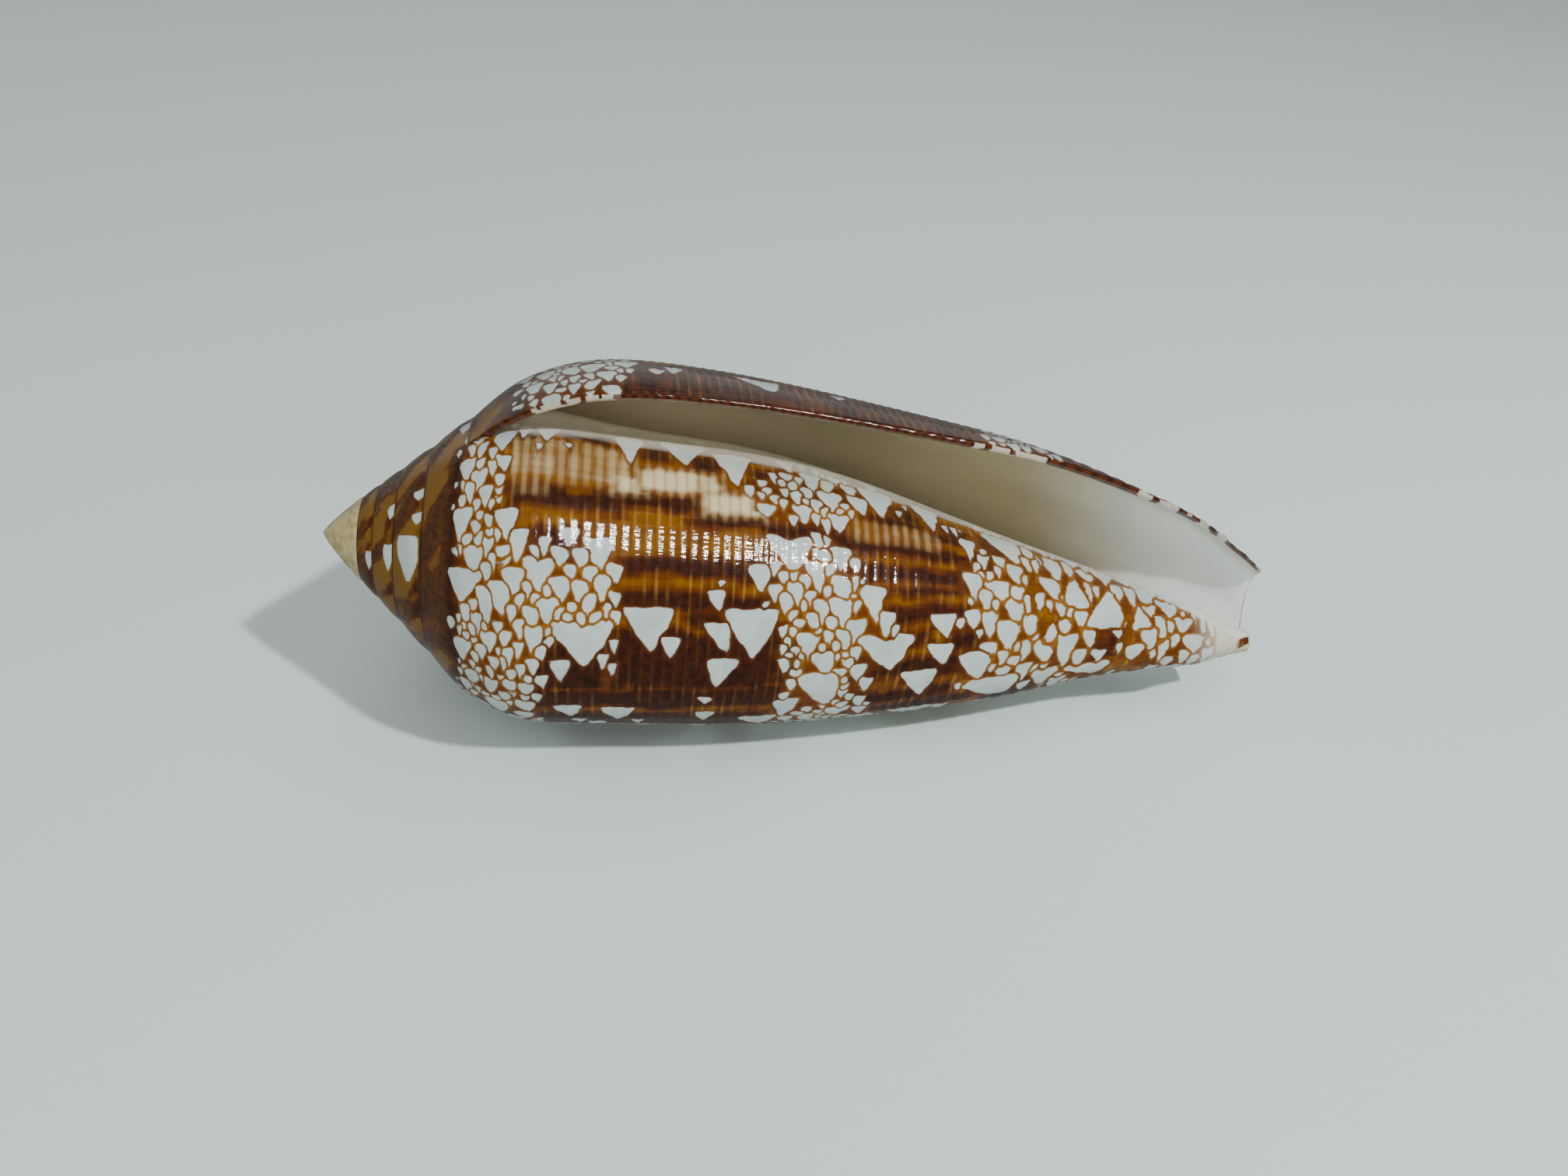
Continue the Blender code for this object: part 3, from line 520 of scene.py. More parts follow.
    def fields(self, t, deg, reach=0.9):
        """Smallest gauge of each class at every point of a list."""
        t, deg = np.ravel(t), np.ravel(deg)
        # nothing on a shell is ruled: bend the outlines a little
        bend = step(t, 3.0, 4.5)
        t, deg = (
            t + bend * (0.17 * (value_noise(t * 1.5, deg * 0.26, 81) - 0.5) + 0.045 * (value_noise(t * 4.1, deg * 0.7, 82) - 0.5)),
            deg + bend * (1.1 * (value_noise(t * 1.5, deg * 0.26, 83) - 0.5) + 0.28 * (value_noise(t * 4.1, deg * 0.7, 84) - 0.5)),
        )
        out = np.full((len(t), self.CLASSES), 2.5, np.float32)
        order = np.argsort(t)
        ts = t[order]
        for i in range(len(self.mid)):
            lo, hi = np.searchsorted(ts, (self.t0[i] - reach, self.t1[i] + reach))
            if lo >= hi:
                continue
            pick = order[lo:hi]
            margin = reach / self.rad[i] * 180 / math.pi
            a0, a1 = min(self.top[i], self.tip[i]) - margin, max(self.top[i], self.tip[i]) + margin
            d = deg[pick]
            pick = pick[(d > a0) & (d < a1)]
            if len(pick):
                c = self.cls[i]
                out[pick, c] = np.minimum(out[pick, c], self.gauge(i, t[pick], deg[pick]))
        return out


# ---------------------------------------------------------------- skin
class Skin:
    """Points shared by all patches. Each patch has its own markings and map place at its corners."""

    def __init__(self):
        self.points = []
        self.count = 0
        self.patches = []

    def add(self, p):
        p = np.asarray(p, float).reshape(-1, 3)
        ids = np.arange(self.count, self.count + len(p))
        self.points.append(p)
        self.count += len(p)
        return ids

    def at(self, ids):
        return np.concatenate(self.points)[ids]

    def patch(self, ids, t, deg, kind, uv, faces):
        """ids, t, deg, kind (1 outside, 0 inside), uv: one entry each per local point; faces: local triples."""
        ids = np.ravel(ids)
        n = len(ids)
        faces = np.asarray(faces, int).reshape(-1, 3)
        g = ids[faces]
        good = (g[:, 0] != g[:, 1]) & (g[:, 1] != g[:, 2]) & (g[:, 0] != g[:, 2])
        self.patches.append(dict(ids=ids, t=np.broadcast_to(np.ravel(t), n), deg=np.broadcast_to(np.ravel(deg), n),
                                 kind=np.broadcast_to(np.ravel(kind), n), uv=np.asarray(uv, float).reshape(-1, 2), faces=faces[good]))


def grid_faces(rows, cols, wrap=None):
    """Triangles of a grid of local indices [row, col], every cell cut along the same diagonal."""
    index = np.arange(rows * cols).reshape(rows, cols)
    a, b, c, d = index[:-1, :-1], index[:-1, 1:], index[1:, 1:], index[1:, :-1]
    return np.concatenate([np.stack([a, b, c], -1).reshape(-1, 3), np.stack([a, c, d], -1).reshape(-1, 3)])


def zip_faces(pa, pb):
    """Triangles between two runs of points, as pairs (0 for a, 1 for b, index)."""
    i = j = 0
    out = []
    while i < len(pa) - 1 or j < len(pb) - 1:
        go_a, go_b = i < len(pa) - 1, j < len(pb) - 1
        if go_a and go_b:
            go_a = np.sum((pa[i + 1] - pb[j]) ** 2) <= np.sum((pa[i] - pb[j + 1]) ** 2)
        if go_a:
            out.append(((0, i), (0, i + 1), (1, j)))
            i += 1
        else:
            out.append(((0, i), (1, j + 1), (1, j)))
            j += 1
    return out


def build_skin():
    skin = Skin()
    m = COLUMNS
    half_step = TURN / m
    t_corner = T_SEAM + CORNER
    phase_end, fine, count = cord_phase(T_END)
    per_cord = 4
    body = np.interp(np.arange(1, int(phase_end * per_cord) + 1) / per_cord, count, fine)
    # front rows: lines lie wider apart there, so they get two more rows each
    wide_from = 36.0
    p0 = math.ceil(float(cord_phase(wide_from)[0]))
    phases = np.concatenate([np.arange(1, p0 * per_cord + 1) / per_cord, np.arange(p0 * 6 + 1, int(phase_end * 6) + 1) / 6.0])
    body = np.interp(phases, count, fine)
    body = body[body < T_END - 0.08]
    corner = np.linspace(T_SEAM, t_corner, 11)
    rows = np.concatenate([np.linspace(0.0, T_SEAM, ROWS_RAMP + 1), corner[1:], body, [T_END]])
    k_seam, k_corner, k_end = ROWS_RAMP, ROWS_RAMP + len(corner) - 1, len(rows) - 1
    k_half = int(np.searchsorted(rows, SPARSE_FROM))

    # outer surface of the body whorl
    theta = -np.arange(m + 1) * half_step
    tt, th = np.meshgrid(rows, theta)
    p = outer(tt, th)
    normal = outward(tt, th)
    phase = cord_phase(rows)[0]
    height = np.interp(rows, CORD_HEIGHT_T, CORD_HEIGHT)
    strength = 0.65 + 0.7 * value_noise(np.floor(phase + 0.5)[None, :] * 1.7, np.degrees(th) * 0.02, 61)
    ridge = np.cos(TURN * phase)[None, :] * height[None, :] * strength
    # growth lines: faint uneven steps that run along the shell
    lines = (value_noise(np.degrees(th) * 0.9, tt * 0.03, 62) - 0.5) * 0.016 + (value_noise(np.degrees(th) * 0.28, tt * 0.02, 63) - 0.5) * 0.05
    calm = step(tt, T_SEAM, T_SEAM + 2.5) * (1 - step(tt, T_END - 2.0, T_END))
    edge_fade = step(-th, 0.0, 0.05) * step(TURN + th, 0.0, 0.10)
    p = p + normal * (ridge * (0.55 + 0.45 * edge_fade) + lines * calm * edge_fade)[..., None]
    # the lip's margin is a little uneven, most at the front where it is worn
    uneven = (value_noise(rows * 1.9, rows * 0 + 0.5, 64) - 0.5) * 0.10 + (value_noise(rows * 5.1, rows * 0 + 0.5, 65) - 0.5) * 0.05
    worn = step(rows, 46.0, 50.0) * (value_noise(rows * 1.15, rows * 0 + 3.5, 66) - 0.5) * 0.5
    margin = (uneven * step(rows, T_SEAM, T_SEAM + 3) + worn) * (1 - step(rows, T_END - 0.6, T_END))
    along = np.zeros_like(p[0])
    along[1:-1] = p[0, 1:-1] - p[2, 1:-1]
    along /= np.linalg.norm(along, axis=-1, keepdims=True) + 1e-9
    fade = np.exp(-np.arange(8) / 2.2)
    for j, w in enumerate(fade):
        p[j] += along * (margin * w)[:, None]

    ids = np.full((m + 1, k_end + 1), -1)
    kept = np.zeros((m + 1, k_end + 1), bool)
    kept[:, :k_half] = True
    kept[::2, k_half:] = True
    kept[m, k_seam] = False
    ids[kept] = skin.add(p[kept])
    ids[m, k_seam] = ids[0, 0]

    # spire: the seam's points are those of the whorl outside it
    last = m * (WHORLS + 1)
    columns = np.arange(m, last + 1)
    ramp = rows[: k_seam + 1]
    st, sh = np.meshgrid(ramp, -columns * half_step)
    sp = outer(st, sh)
    size = GROWTH ** (sh / TURN)
    bead = 0.030 * np.sin(math.pi * np.clip(st / T_SEAM, 0, 1)) * np.cos(TURN * 3.0 * st / T_SEAM) * size
    grow = (value_noise(np.degrees(sh) * 0.33, st * 0.2, 67) - 0.5) * 0.06 * size * np.sin(math.pi * np.clip(st / T_SEAM, 0, 1))
    sp = sp + outward(st, sh) * (bead + grow)[..., None]
    sid = np.full(st.shape, -1)
    sid[0] = ids[m, : k_seam + 1]
    for j in range(1, len(columns)):
        sid[j, :k_seam] = skin.add(sp[j, :k_seam])
        older = columns[j] - m
        sid[j, k_seam] = ids[older, 0] if older <= m else sid[older - m, 0]

    # body patch: dense rows, one row of threes, then every second column
    index = np.arange((m + 1) * (k_end + 1)).reshape(m + 1, k_end + 1)
    faces = []
    a, b = index[:-1, : k_half - 1], index[:-1, 1:k_half]
    c, d = index[1:, 1:k_half], index[1:, : k_half - 1]
    faces += [np.stack([a, b, c], -1).reshape(-1, 3), np.stack([a, c, d], -1).reshape(-1, 3)]
    a0, a1, a2 = index[:-2:2, k_half - 1], index[1:-1:2, k_half - 1], index[2::2, k_half - 1]
    b0, b2 = index[:-2:2, k_half], index[2::2, k_half]
    faces += [np.stack([a0, b0, a1], -1), np.stack([a1, b0, b2], -1), np.stack([a1, b2, a2], -1)]
    a, b = index[:-2:2, k_half:-1], index[:-2:2, k_half + 1 :]
    c, d = index[2::2, k_half + 1 :], index[2::2, k_half:-1]
    faces += [np.stack([a, b, c], -1).reshape(-1, 3), np.stack([a, c, d], -1).reshape(-1, 3)]
    uv = np.stack([0.004 + 0.992 * (-th / TURN), 0.004 + 0.716 * tt / T_END], -1)
    flat_ids = ids.copy()
    flat_ids[flat_ids < 0] = 0
    skin.patch(flat_ids, tt, np.degrees(th), 1.0, uv, np.concatenate(faces))

    whorl = columns / m - 1.0
    unroll = (1 - GROWTH ** (-whorl)) / (1 - GROWTH ** (-float(WHORLS)))
    uv = np.stack(np.broadcast_arrays(0.004 + 0.992 * unroll[:, None], 0.735 + 0.062 * (st / T_SEAM)), -1)
    skin.patch(sid, st, np.degrees(sh), 1.0, uv, grid_faces(*st.shape))

    # apex: a small smooth dome
    edge = [int(v) for v in sid[-(m + 1) :, 0]] + [int(sid[-1, k]) for k in range(1, k_seam)]
    first = skin.at(np.array(edge[:m]))
    rings = []
    for q in (0.72, 0.45, 0.2):
        ring = np.stack([APEX_S + (first[:, 0] - APEX_S) * q**1.2, first[:, 1] * q, first[:, 2] * q], -1)
        rings.append([int(v) for v in skin.add(ring)])
    tip = int(skin.add(np.array([APEX_S, 0.0, 0.0]))[0])
    tri = []

    def close(before, ring):
        n = len(ring)
        for i in range(n - 1):
            tri.extend([(before[i], before[i + 1], ring[i + 1]), (before[i], ring[i + 1], ring[i])])
        if len(before) > n:
            tri.extend([(before[n - 1], before[n], ring[0]), (before[n - 1], ring[0], ring[n - 1])])
            tail = list(before[n:]) + [before[0]]
            for i in range(len(tail) - 1):
                tri.append((tail[i], tail[i + 1], ring[0]))
        else:
            tri.extend([(before[n - 1], before[0], ring[0]), (before[n - 1], ring[0], ring[n - 1])])

    close(edge, rings[0])
    close(rings[0], rings[1])
    close(rings[1], rings[2])
    for i in range(m):
        tri.append((rings[2][i], rings[2][(i + 1) % m], tip))
    loose_patch(skin, tri, 1.0, -2150.0, 1.0, (0.02, 0.965, 0.028), 0)

    # hollow
    across = 2.0 * half_step
    depth = int(round(HOLLOW_DEPTH / across))
    canal = int(round(CANAL_OPEN / across))
    dense = 12
    bt, bth, bid, iid, it_all = [], [], [], [], []
    even = np.linspace(0.0, 1.0, INNER_ROWS + 1)
    full = (rows[k_corner:] - t_corner) / (T_END - t_corner)
    dense_t, dense_ids = [], []
    for j in range(depth + 1):
        th_j = -j * across
        x = min(1.0, -th_j / THICKENS_OVER)
        settle = x * x * (3.0 - 2.0 * x)
        start = t_corner + 1.6 * settle
        shut = max(0.0, (j - canal) / max(1, depth - canal))
        end = T_END - 15.0 * shut
        if j <= dense:
            td = start + (end - start) * full
            if j == 0:
                idd = ids[m, k_corner:]
            else:
                pd = outer(td, np.full(len(td), th_j - TURN))
                nd = outward(td, np.full(len(td), th_j - TURN))
                rr = np.cos(TURN * cord_phase(td)[0]) * np.interp(td, CORD_HEIGHT_T, CORD_HEIGHT) * (1.0 - j / dense) ** 1.5 * 0.55
                idd = skin.add(pd + nd * rr[:, None])
            dense_t.append(td)
            dense_ids.append(idd)
        tb = start + (end - start) * even
        pb = outer(tb, np.full(len(tb), th_j - TURN))
        if j <= dense:
            near = np.round(np.interp(even, full, np.arange(len(full)))).astype(int)
            near[0], near[-1] = 0, len(full) - 1
            idb = np.asarray(idd)[near]
            tb = td[near]
            pb = skin.at(idb)
        else:
            idb = skin.add(pb)
        first_t = 0.9 + 2.4 * settle
        ti = first_t + (end - first_t) * even
        face = inner(ti, np.full(len(ti), th_j))
        if j < 8:
            # follows the uneven margin
            face += (np.interp(ti, rows, margin)[:, None]) * np.stack([np.interp(ti, rows, along[:, c]) for c in range(3)], -1) * math.exp(-2 * j / 2.2)
        if j > canal:
            blend = np.maximum(0.0, (even - (1 - 4.0 / 22)) * 22 / 4.0) ** 2
            face = face * (1 - blend)[:, None] + pb * blend[:, None]
        own = np.ones(len(even), bool)
        own[0] = False
        if j >= canal:
            own[-1] = False
        idi = np.array(idb).copy()
        idi[own] = skin.add(face[own])
        bt.append(tb)
        bid.append(idb)
        iid.append(idi)
        it_all.append(ti)
        bth.append(np.full(len(even), th_j))
    # dense part of the wall beside the opening
    dt, dth = np.array(dense_t), -np.arange(dense + 1)[:, None] * across * np.ones((1, len(full)))
    did = np.array(dense_ids)
    skip_pairs = grid_faces(dense + 1, len(full))[:, ::1]
    uv = np.stack([0.004 + 0.49 * dt / T_END, 0.806 + 0.070 * (-dth / (dense * across))], -1)
    skin.patch(did, dt, np.degrees(dth) - 360.0, 1.0, uv, skip_pairs)
    # seam between the dense and the plain part
    bt, bth, bid, iid, it_all = map(np.array, (bt, bth, bid, iid, it_all))
    n = INNER_ROWS + 1
    pa, pb = skin.at(did[dense]), skin.at(bid[dense + 1])
    faces = [tuple(i if s == 0 else len(pa) + i for s, i in f) for f in zip_faces(pa, pb)]
    uv_a = np.stack([0.004 + 0.49 * dt[dense] / T_END, np.full(len(pa), 0.876)], -1)
    uv_b = np.stack([0.004 + 0.49 * bt[dense + 1] / T_END, np.full(n, 0.8785)], -1)
    skin.patch(np.concatenate([did[dense], bid[dense + 1]]), np.concatenate([dt[dense], bt[dense + 1]]),
               np.degrees(np.concatenate([dth[dense], bth[dense + 1]])) - 360.0, 1.0, np.concatenate([uv_a, uv_b]), faces)
    part_t, part_th, part_id = bt[dense + 1 :], bth[dense + 1 :], bid[dense + 1 :]
    uv = np.stack([0.004 + 0.49 * part_t / T_END, 0.8785 + 0.026 * (part_th - part_th[0, 0]) / (part_th[-1, 0] - part_th[0, 0])], -1)
    skin.patch(part_id, part_t, np.degrees(part_th) - 360.0, 1.0, uv, grid_faces(*part_t.shape))
    # inside face of the outer wall, the other way round
    uv = np.stack([0.506 + 0.49 * it_all / T_END, 0.806 + 0.098 * (bth / bth[-1, 0]) ** 0.6], -1)
    skin.patch(iid, it_all, np.degrees(bth), 0.0, uv, grid_faces(*it_all.shape)[:, ::-1])
    # deep end
    uv_a = np.stack([0.004 + 0.49 * bt[-1] / T_END, np.full(n, 0.9065)], -1)
    uv_b = uv_a + (0.0, 0.004)
    ends = np.concatenate([bid[-1], iid[-1]])
    index = np.arange(2 * n).reshape(2, n)
    skin.patch(ends, np.concatenate([bt[-1], it_all[-1]]), np.full(2 * n, -592.0), 0.0, np.concatenate([uv_a, uv_b]), grid_faces(2, n))

    # lip edge, rounded
    out_ids = ids[0, :]
    in_ids = np.concatenate([ids[m, k_seam:k_corner], iid[0]])
    in_t = np.concatenate([rows[k_seam:k_corner], it_all[0]])
    po, pi = skin.at(out_ids), skin.at(in_ids)
    reach = np.concatenate([[0.0], np.cumsum(np.linalg.norm(np.diff(pi, axis=0), axis=1))])
    reach_o = np.concatenate([[0.0], np.cumsum(np.linalg.norm(np.diff(po, axis=0), axis=1))])
    pin = np.stack([np.interp(reach_o / reach_o[-1], reach / reach[-1], pi[:, c]) for c in range(3)], -1)
    mid = 0.56 * po + 0.44 * pin
    forward = along.copy()
    forward[0] = forward[-1] = 0.0
    body_part = step(np.arange(len(rows)), k_corner, k_corner + 14)[:, None]
    mid = mid + forward * 0.13 * body_part
    mid_ids = skin.add(mid[1:-1])
    mid_ids = np.concatenate([[out_ids[0]], mid_ids, skin.add(mid[-1:])])
    pm = np.concatenate([po[:1], mid[1:]])
    k = len(rows)
    uv_o = np.stack([0.004 + 0.992 * rows / T_END, np.full(k, 0.915)], -1)
    uv_m = uv_o + (0.0, 0.006)
    lip_index = np.arange(2 * k).reshape(2, k)
    a, b, c, d = lip_index[0, :-1], lip_index[0, 1:], lip_index[1, 1:], lip_index[1, :-1]
    faces = np.concatenate([np.stack([a, c, b], -1), np.stack([a, d, c], -1)])
    skin.patch(np.concatenate([out_ids, mid_ids]), np.concatenate([rows, rows]), np.concatenate([np.zeros(k), np.full(k, 0.6)]),
               np.concatenate([np.ones(k), np.full(k, 0.62)]), np.concatenate([uv_o, uv_m]), faces)
    faces = [tuple(i if s == 0 else k + i for s, i in f) for f in zip_faces(pm, pi)]
    uv_i = np.stack([0.004 + 0.992 * in_t / T_END, np.full(len(in_t), 0.927)], -1)
    skin.patch(np.concatenate([mid_ids, in_ids]), np.concatenate([rows, in_t]), np.concatenate([np.full(k, 0.6), np.full(len(in_t), 1.2)]),
               np.concatenate([np.full(k, 0.62), np.zeros(len(in_t))]), np.concatenate([uv_m, uv_i]), faces)

    # front edge of the wall, rounded, and the closed end of the pillar beside it
    rim_out = ids[0 : 2 * canal + 1 : 2, k_end]
    rim_in = iid[: canal + 1, -1]
    ro, ri = skin.at(rim_out), skin.at(rim_in)
    rim_mid = 0.5 * (ro + ri) + np.array([0.14, 0.0, 0.0]) * np.minimum(1.0, np.linalg.norm(ro - ri, axis=1) / 0.4)[:, None]
    rim_mid_ids = np.concatenate([mid_ids[-1:], skin.add(rim_mid[1:-1])])
    deg_rim = -np.degrees(np.arange(canal + 1) * across)
    loc = np.concatenate([rim_out, rim_mid_ids, rim_in])
    no, nm = canal + 1, canal
    tri = []
    for i in range(canal - 1):
        tri += [(i, i + 1, no + i + 1), (i, no + i + 1, no + i)]
        tri += [(no + i, no + i + 1, no + nm + i + 1), (no + i, no + nm + i + 1, no + nm + i)]
    i = canal - 1
    tri += [(i, i + 1, no + i), (no + i, i + 1, no + nm + i + 1), (no + i, no + nm + i + 1, no + nm + i)]
    u = 0.004 + 0.6 * np.arange(canal + 1) / canal
    uv = np.concatenate([np.stack([u, np.full(no, 0.935)], -1), np.stack([u[:-1], np.full(nm, 0.941)], -1), np.stack([u, np.full(no, 0.947)], -1)])
    skin.patch(loc, T_END, np.concatenate([deg_rim, deg_rim[:-1], deg_rim]), np.concatenate([np.ones(no), np.full(nm, 0.5), np.zeros(no)]), uv, tri)

    loop = [int(v) for v in ids[2 * canal : m : 2, k_end]] + [int(v) for v in bid[: canal + 1, -1]]
    centre = place(np.array(WALL_END), np.array(0.0), np.array(0.0))
    around = m // 2
    base = skin.at(np.array(loop[:around]))
    rings = []
    for q, out in ((0.86, 0.11), (0.72, 0.22), (0.4, 0.36)):
        ring = centre + (base - centre) * q
        ring[:, 0] = base[:, 0] * q + (1 - q) * WALL_END + out
        rings.append([int(v) for v in skin.add(ring)])
    tip = int(skin.add(centre + np.array([0.42, 0.0, 0.0]))[0])
    tri = []

    def close_front(before, ring):
        n = len(ring)
        for i in range(n - 1):
            tri.extend([(before[i], before[i + 1], ring[i + 1]), (before[i], ring[i + 1], ring[i])])
        if len(before) > n:
            tri.extend([(before[n - 1], before[n], ring[0]), (before[n - 1], ring[0], ring[n - 1]), (before[n], before[0], ring[0])])
        else:
            tri.extend([(before[n - 1], before[0], ring[0]), (before[n - 1], ring[0], ring[n - 1])])

    close_front(loop, rings[0])
    close_front(rings[0], rings[1])
    close_front(rings[1], rings[2])
    for i in range(around):
        tri.append((rings[2][i], rings[2][(i + 1) % around], tip))
    loose_patch(skin, tri, T_END, -300.0, 1.0, (0.08, 0.965, 0.028), 0)
    return skin


def loose_patch(skin, tri, t, deg, kind, spot, _):
    """A small cap: its map place is a disc, seen along the axis."""
    tri = np.asarray(tri, int)
    ids, local = np.unique(tri, return_inverse=True)
    p = skin.at(ids)
    c = p.mean(axis=0)
    r = np.abs(p[:, 1:] - c[1:]).max() + 1e-9
    uv = np.stack([spot[0] + spot[2] * (p[:, 1] - c[1]) / r, spot[1] + spot[2] * (p[:, 2] - c[2]) / r], -1)
    skin.patch(ids, t, deg, kind, uv, local.reshape(-1, 3))


# ---------------------------------------------------------------- markings at every corner
def markings(patch, tents):
    t, deg, kind = patch["t"], patch["deg"], patch["kind"]
    gauges = tents.fields(t, deg)
    spire = (deg < -360.5) & (t < T_SEAM + 0.01)
    band = band_mask(t, deg)
    ramp = 1 - step(t + (value_noise(t * 0.9, deg * 0.2, 71) - 0.5) * 0.7, 3.7, 4.5)  # dark shoulder and spire
    dark = dark_field(t, deg)
    gold = gold_field(t, deg)
    # flames across the spire's whorls
    lean = deg * 0.075 + t * 0.50
    flame = value_noise(lean, deg * 0.011, 72) * 0.62 + value_noise(lean * 2.6, t * 0.9, 73) * 0.38
    flame = flame - np.where(deg > -360.5, 0.30, 0.0) * step(t, 2.0, 3.4) - 0.05
    cream = step(-deg, 1610.0, 1650.0)
    # glaze laid over the wall beside the opening
    rim = -362.6 + 3.0 * (value_noise(t * 0.9, 0.5, 74) - 0.5) + np.interp(t, (4, 6, 9, 12, 30, 38, 43, 46.5, 48.5, 50.5, 54), (-3, 0.5, 1.5, -2.5, -1.0, 4.0, 9.0, 24.0, 42.0, 75.0, 110.0))
    callus = (0.50 * step(rim - deg, -2.0, 1.0) + 0.50 * step(rim - deg, 3.0, 16.0)) * (~spire)
    band = band * (1 - step(rim - deg, -1.5, 1.5) * (~spire))
    slant = deg + (t - 53.0) * 22.0
    mark = step(t, 52.5, 52.9) * (1 - step(t, 53.8, 53.9)) * step(slant, -284.0, -272.0) * (1 - step(slant, -244.0, -232.0))
    gauges = gauges + 3.0 * mark[:, None]
    tip = step(t, 50.0, 51.6) * step(-deg, 200.0, 235.0) * (1 - mark)
    cream = np.maximum(cream, tip)
    front = step(t, 48.0, 51.0) * 0.34 * (deg < -150)
    callus = np.maximum(callus, front) * (1 - mark)
    band = np.maximum(band, mark)
    dark = np.where(mark > 0.05, 0.05, dark)
    lip = np.zeros(len(t))
    for t0, t1 in EDGE_BROWN:
        lip = np.maximum(lip, step(t, t0 - 0.12, t0 + 0.12) * (1 - step(t, t1 - 0.12, t1 + 0.12)))
    lip = np.where(t > 53.4, 0.45 * step(deg, -60.0, -10.0), lip)
    n = len(t)
    pack = {
        "tents_a": gauges[:, 0:3], "tents_b": gauges[:, 3:6], "tents_c": gauges[:, 6:9],
        "zone": np.stack([band, dark, gold], -1),
        "glaze": np.stack([kind, callus, cream], -1),
        "spire": np.stack([np.where(kind > 0.3, ramp, 0.0), flame, lip], -1),
        "way": np.stack([t, deg * (math.pi / 180 * 9.0), cord_phase(t)[0]], -1),
    }
    return {k: np.asarray(v, np.float32).reshape(n, 3) for k, v in pack.items()}


def make_mesh(skin, tents, offset):
    p = lay_down(np.concatenate(skin.points))
    lo, hi = p.min(axis=0), p.max(axis=0)
    box_lo, box_hi = [np.array(v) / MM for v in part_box("shell")]
    shift = np.array([0.5 * (box_lo[0] + box_hi[0]) - 0.5 * (lo[0] + hi[0]), 0.5 * (box_lo[1] + box_hi[1]) - 0.5 * (lo[1] + hi[1]), box_lo[2] - lo[2]])
    # the finer shape ends a little shorter in front, with a narrower pillar, and a little longer behind
    q = np.concatenate(skin.points)
    s = q[:, 0]
    front = np.clip((s - 49.0) / 11.0, 0.0, 1.0) ** 1.4
    corner = np.clip(q[:, 2] / 4.0, 0.0, 1.0) * np.clip((s - 51.0) / 9.0, 0.0, 1.0)
    q[:, 0] = s - 0.72 * front - 0.42 * corner - 0.26 * (1.0 - step(s, 0.0, 7.0))
    hub = np.array(FRONT_SHIFT)
    away = q[:, 1:] - hub
    near = (1 - step(np.linalg.norm(away, axis=1), 1.8, 3.4)) * step(s, 55.0, 60.0)
    q[:, 1:] = hub + away * (1.0 - 0.34 * near)[:, None] + np.array([-0.05, -0.35]) * near[:, None]
    p = (lay_down(q) + shift) * MM
    faces = np.concatenate([q["ids"][q["faces"]] for q in skin.patches])
    used, inverse = np.unique(faces, return_inverse=True)
    p, faces = p[used], inverse.reshape(-1, 3)
    mesh = bpy.data.meshes.new("cone_shell_skin")
    mesh.vertices.add(len(p))
    mesh.vertices.foreach_set("co", p.astype(np.float32).ravel())
    mesh.loops.add(faces.size)
    mesh.loops.foreach_set("vertex_index", faces.astype(np.int32).ravel())
    mesh.polygons.add(len(faces))
    mesh.polygons.foreach_set("loop_start", np.arange(0, faces.size, 3, dtype=np.int32))
    mesh.polygons.foreach_set("loop_total", np.full(len(faces), 3, dtype=np.int32))
    mesh.update(calc_edges=True)
    packs = [markings(q, tents) for q in skin.patches]
    for name in packs[0]:
        layer = mesh.attributes.new(name, "FLOAT_VECTOR", "CORNER")
        data = np.concatenate([k[name][q["faces"]].reshape(-1, 3) for q, k in zip(skin.patches, packs)])
        layer.data.foreach_set("vector", data.astype(np.float32).ravel())
    uv_layer = mesh.uv_layers.new(name="OFBake")
    data = np.concatenate([q["uv"][q["faces"]].reshape(-1, 2) for q in skin.patches])
    uv_layer.uv.foreach_set("vector", data.astype(np.float32).ravel())
    # all faces look outwards
    bm = bmesh.new()
    bm.from_mesh(mesh)
    bmesh.ops.recalc_face_normals(bm, faces=bm.faces)
    bm.to_mesh(mesh)
    bm.free()
    mesh.validate(verbose=False)
    mesh.shade_smooth()
    mesh.set_sharp_from_angle(angle=math.radians(65.0))
    print("skin: %d points, %d triangles, tents %s" % (len(p), len(faces), tents.counted))
    return mesh


# ---------------------------------------------------------------- glaze
def srgb(r, g, b):
    def lin(c):
        c /= 255.0
        return c / 12.92 if c <= 0.04045 else ((c + 0.055) / 1.055) ** 2.4

    return (lin(r), lin(g), lin(b), 1.0)


OCHRE, OCHRE_DEEP, RUST = srgb(126, 79, 7), srgb(106, 60, 6), srgb(90, 42, 7)
CHOCOLATE, CHOCOLATE_DEEP = srgb(62, 26, 10), srgb(42, 18, 10)
THIN_LINE, LINE_GOLD, PALE_GOLD, FLAME = srgb(136, 86, 26), srgb(170, 124, 50), srgb(214, 202, 158), srgb(122, 86, 30)
WHITE, WHITE_COOL, WHITE_WARM = srgb(192, 203, 199), srgb(178, 191, 188), srgb(188, 184, 164)


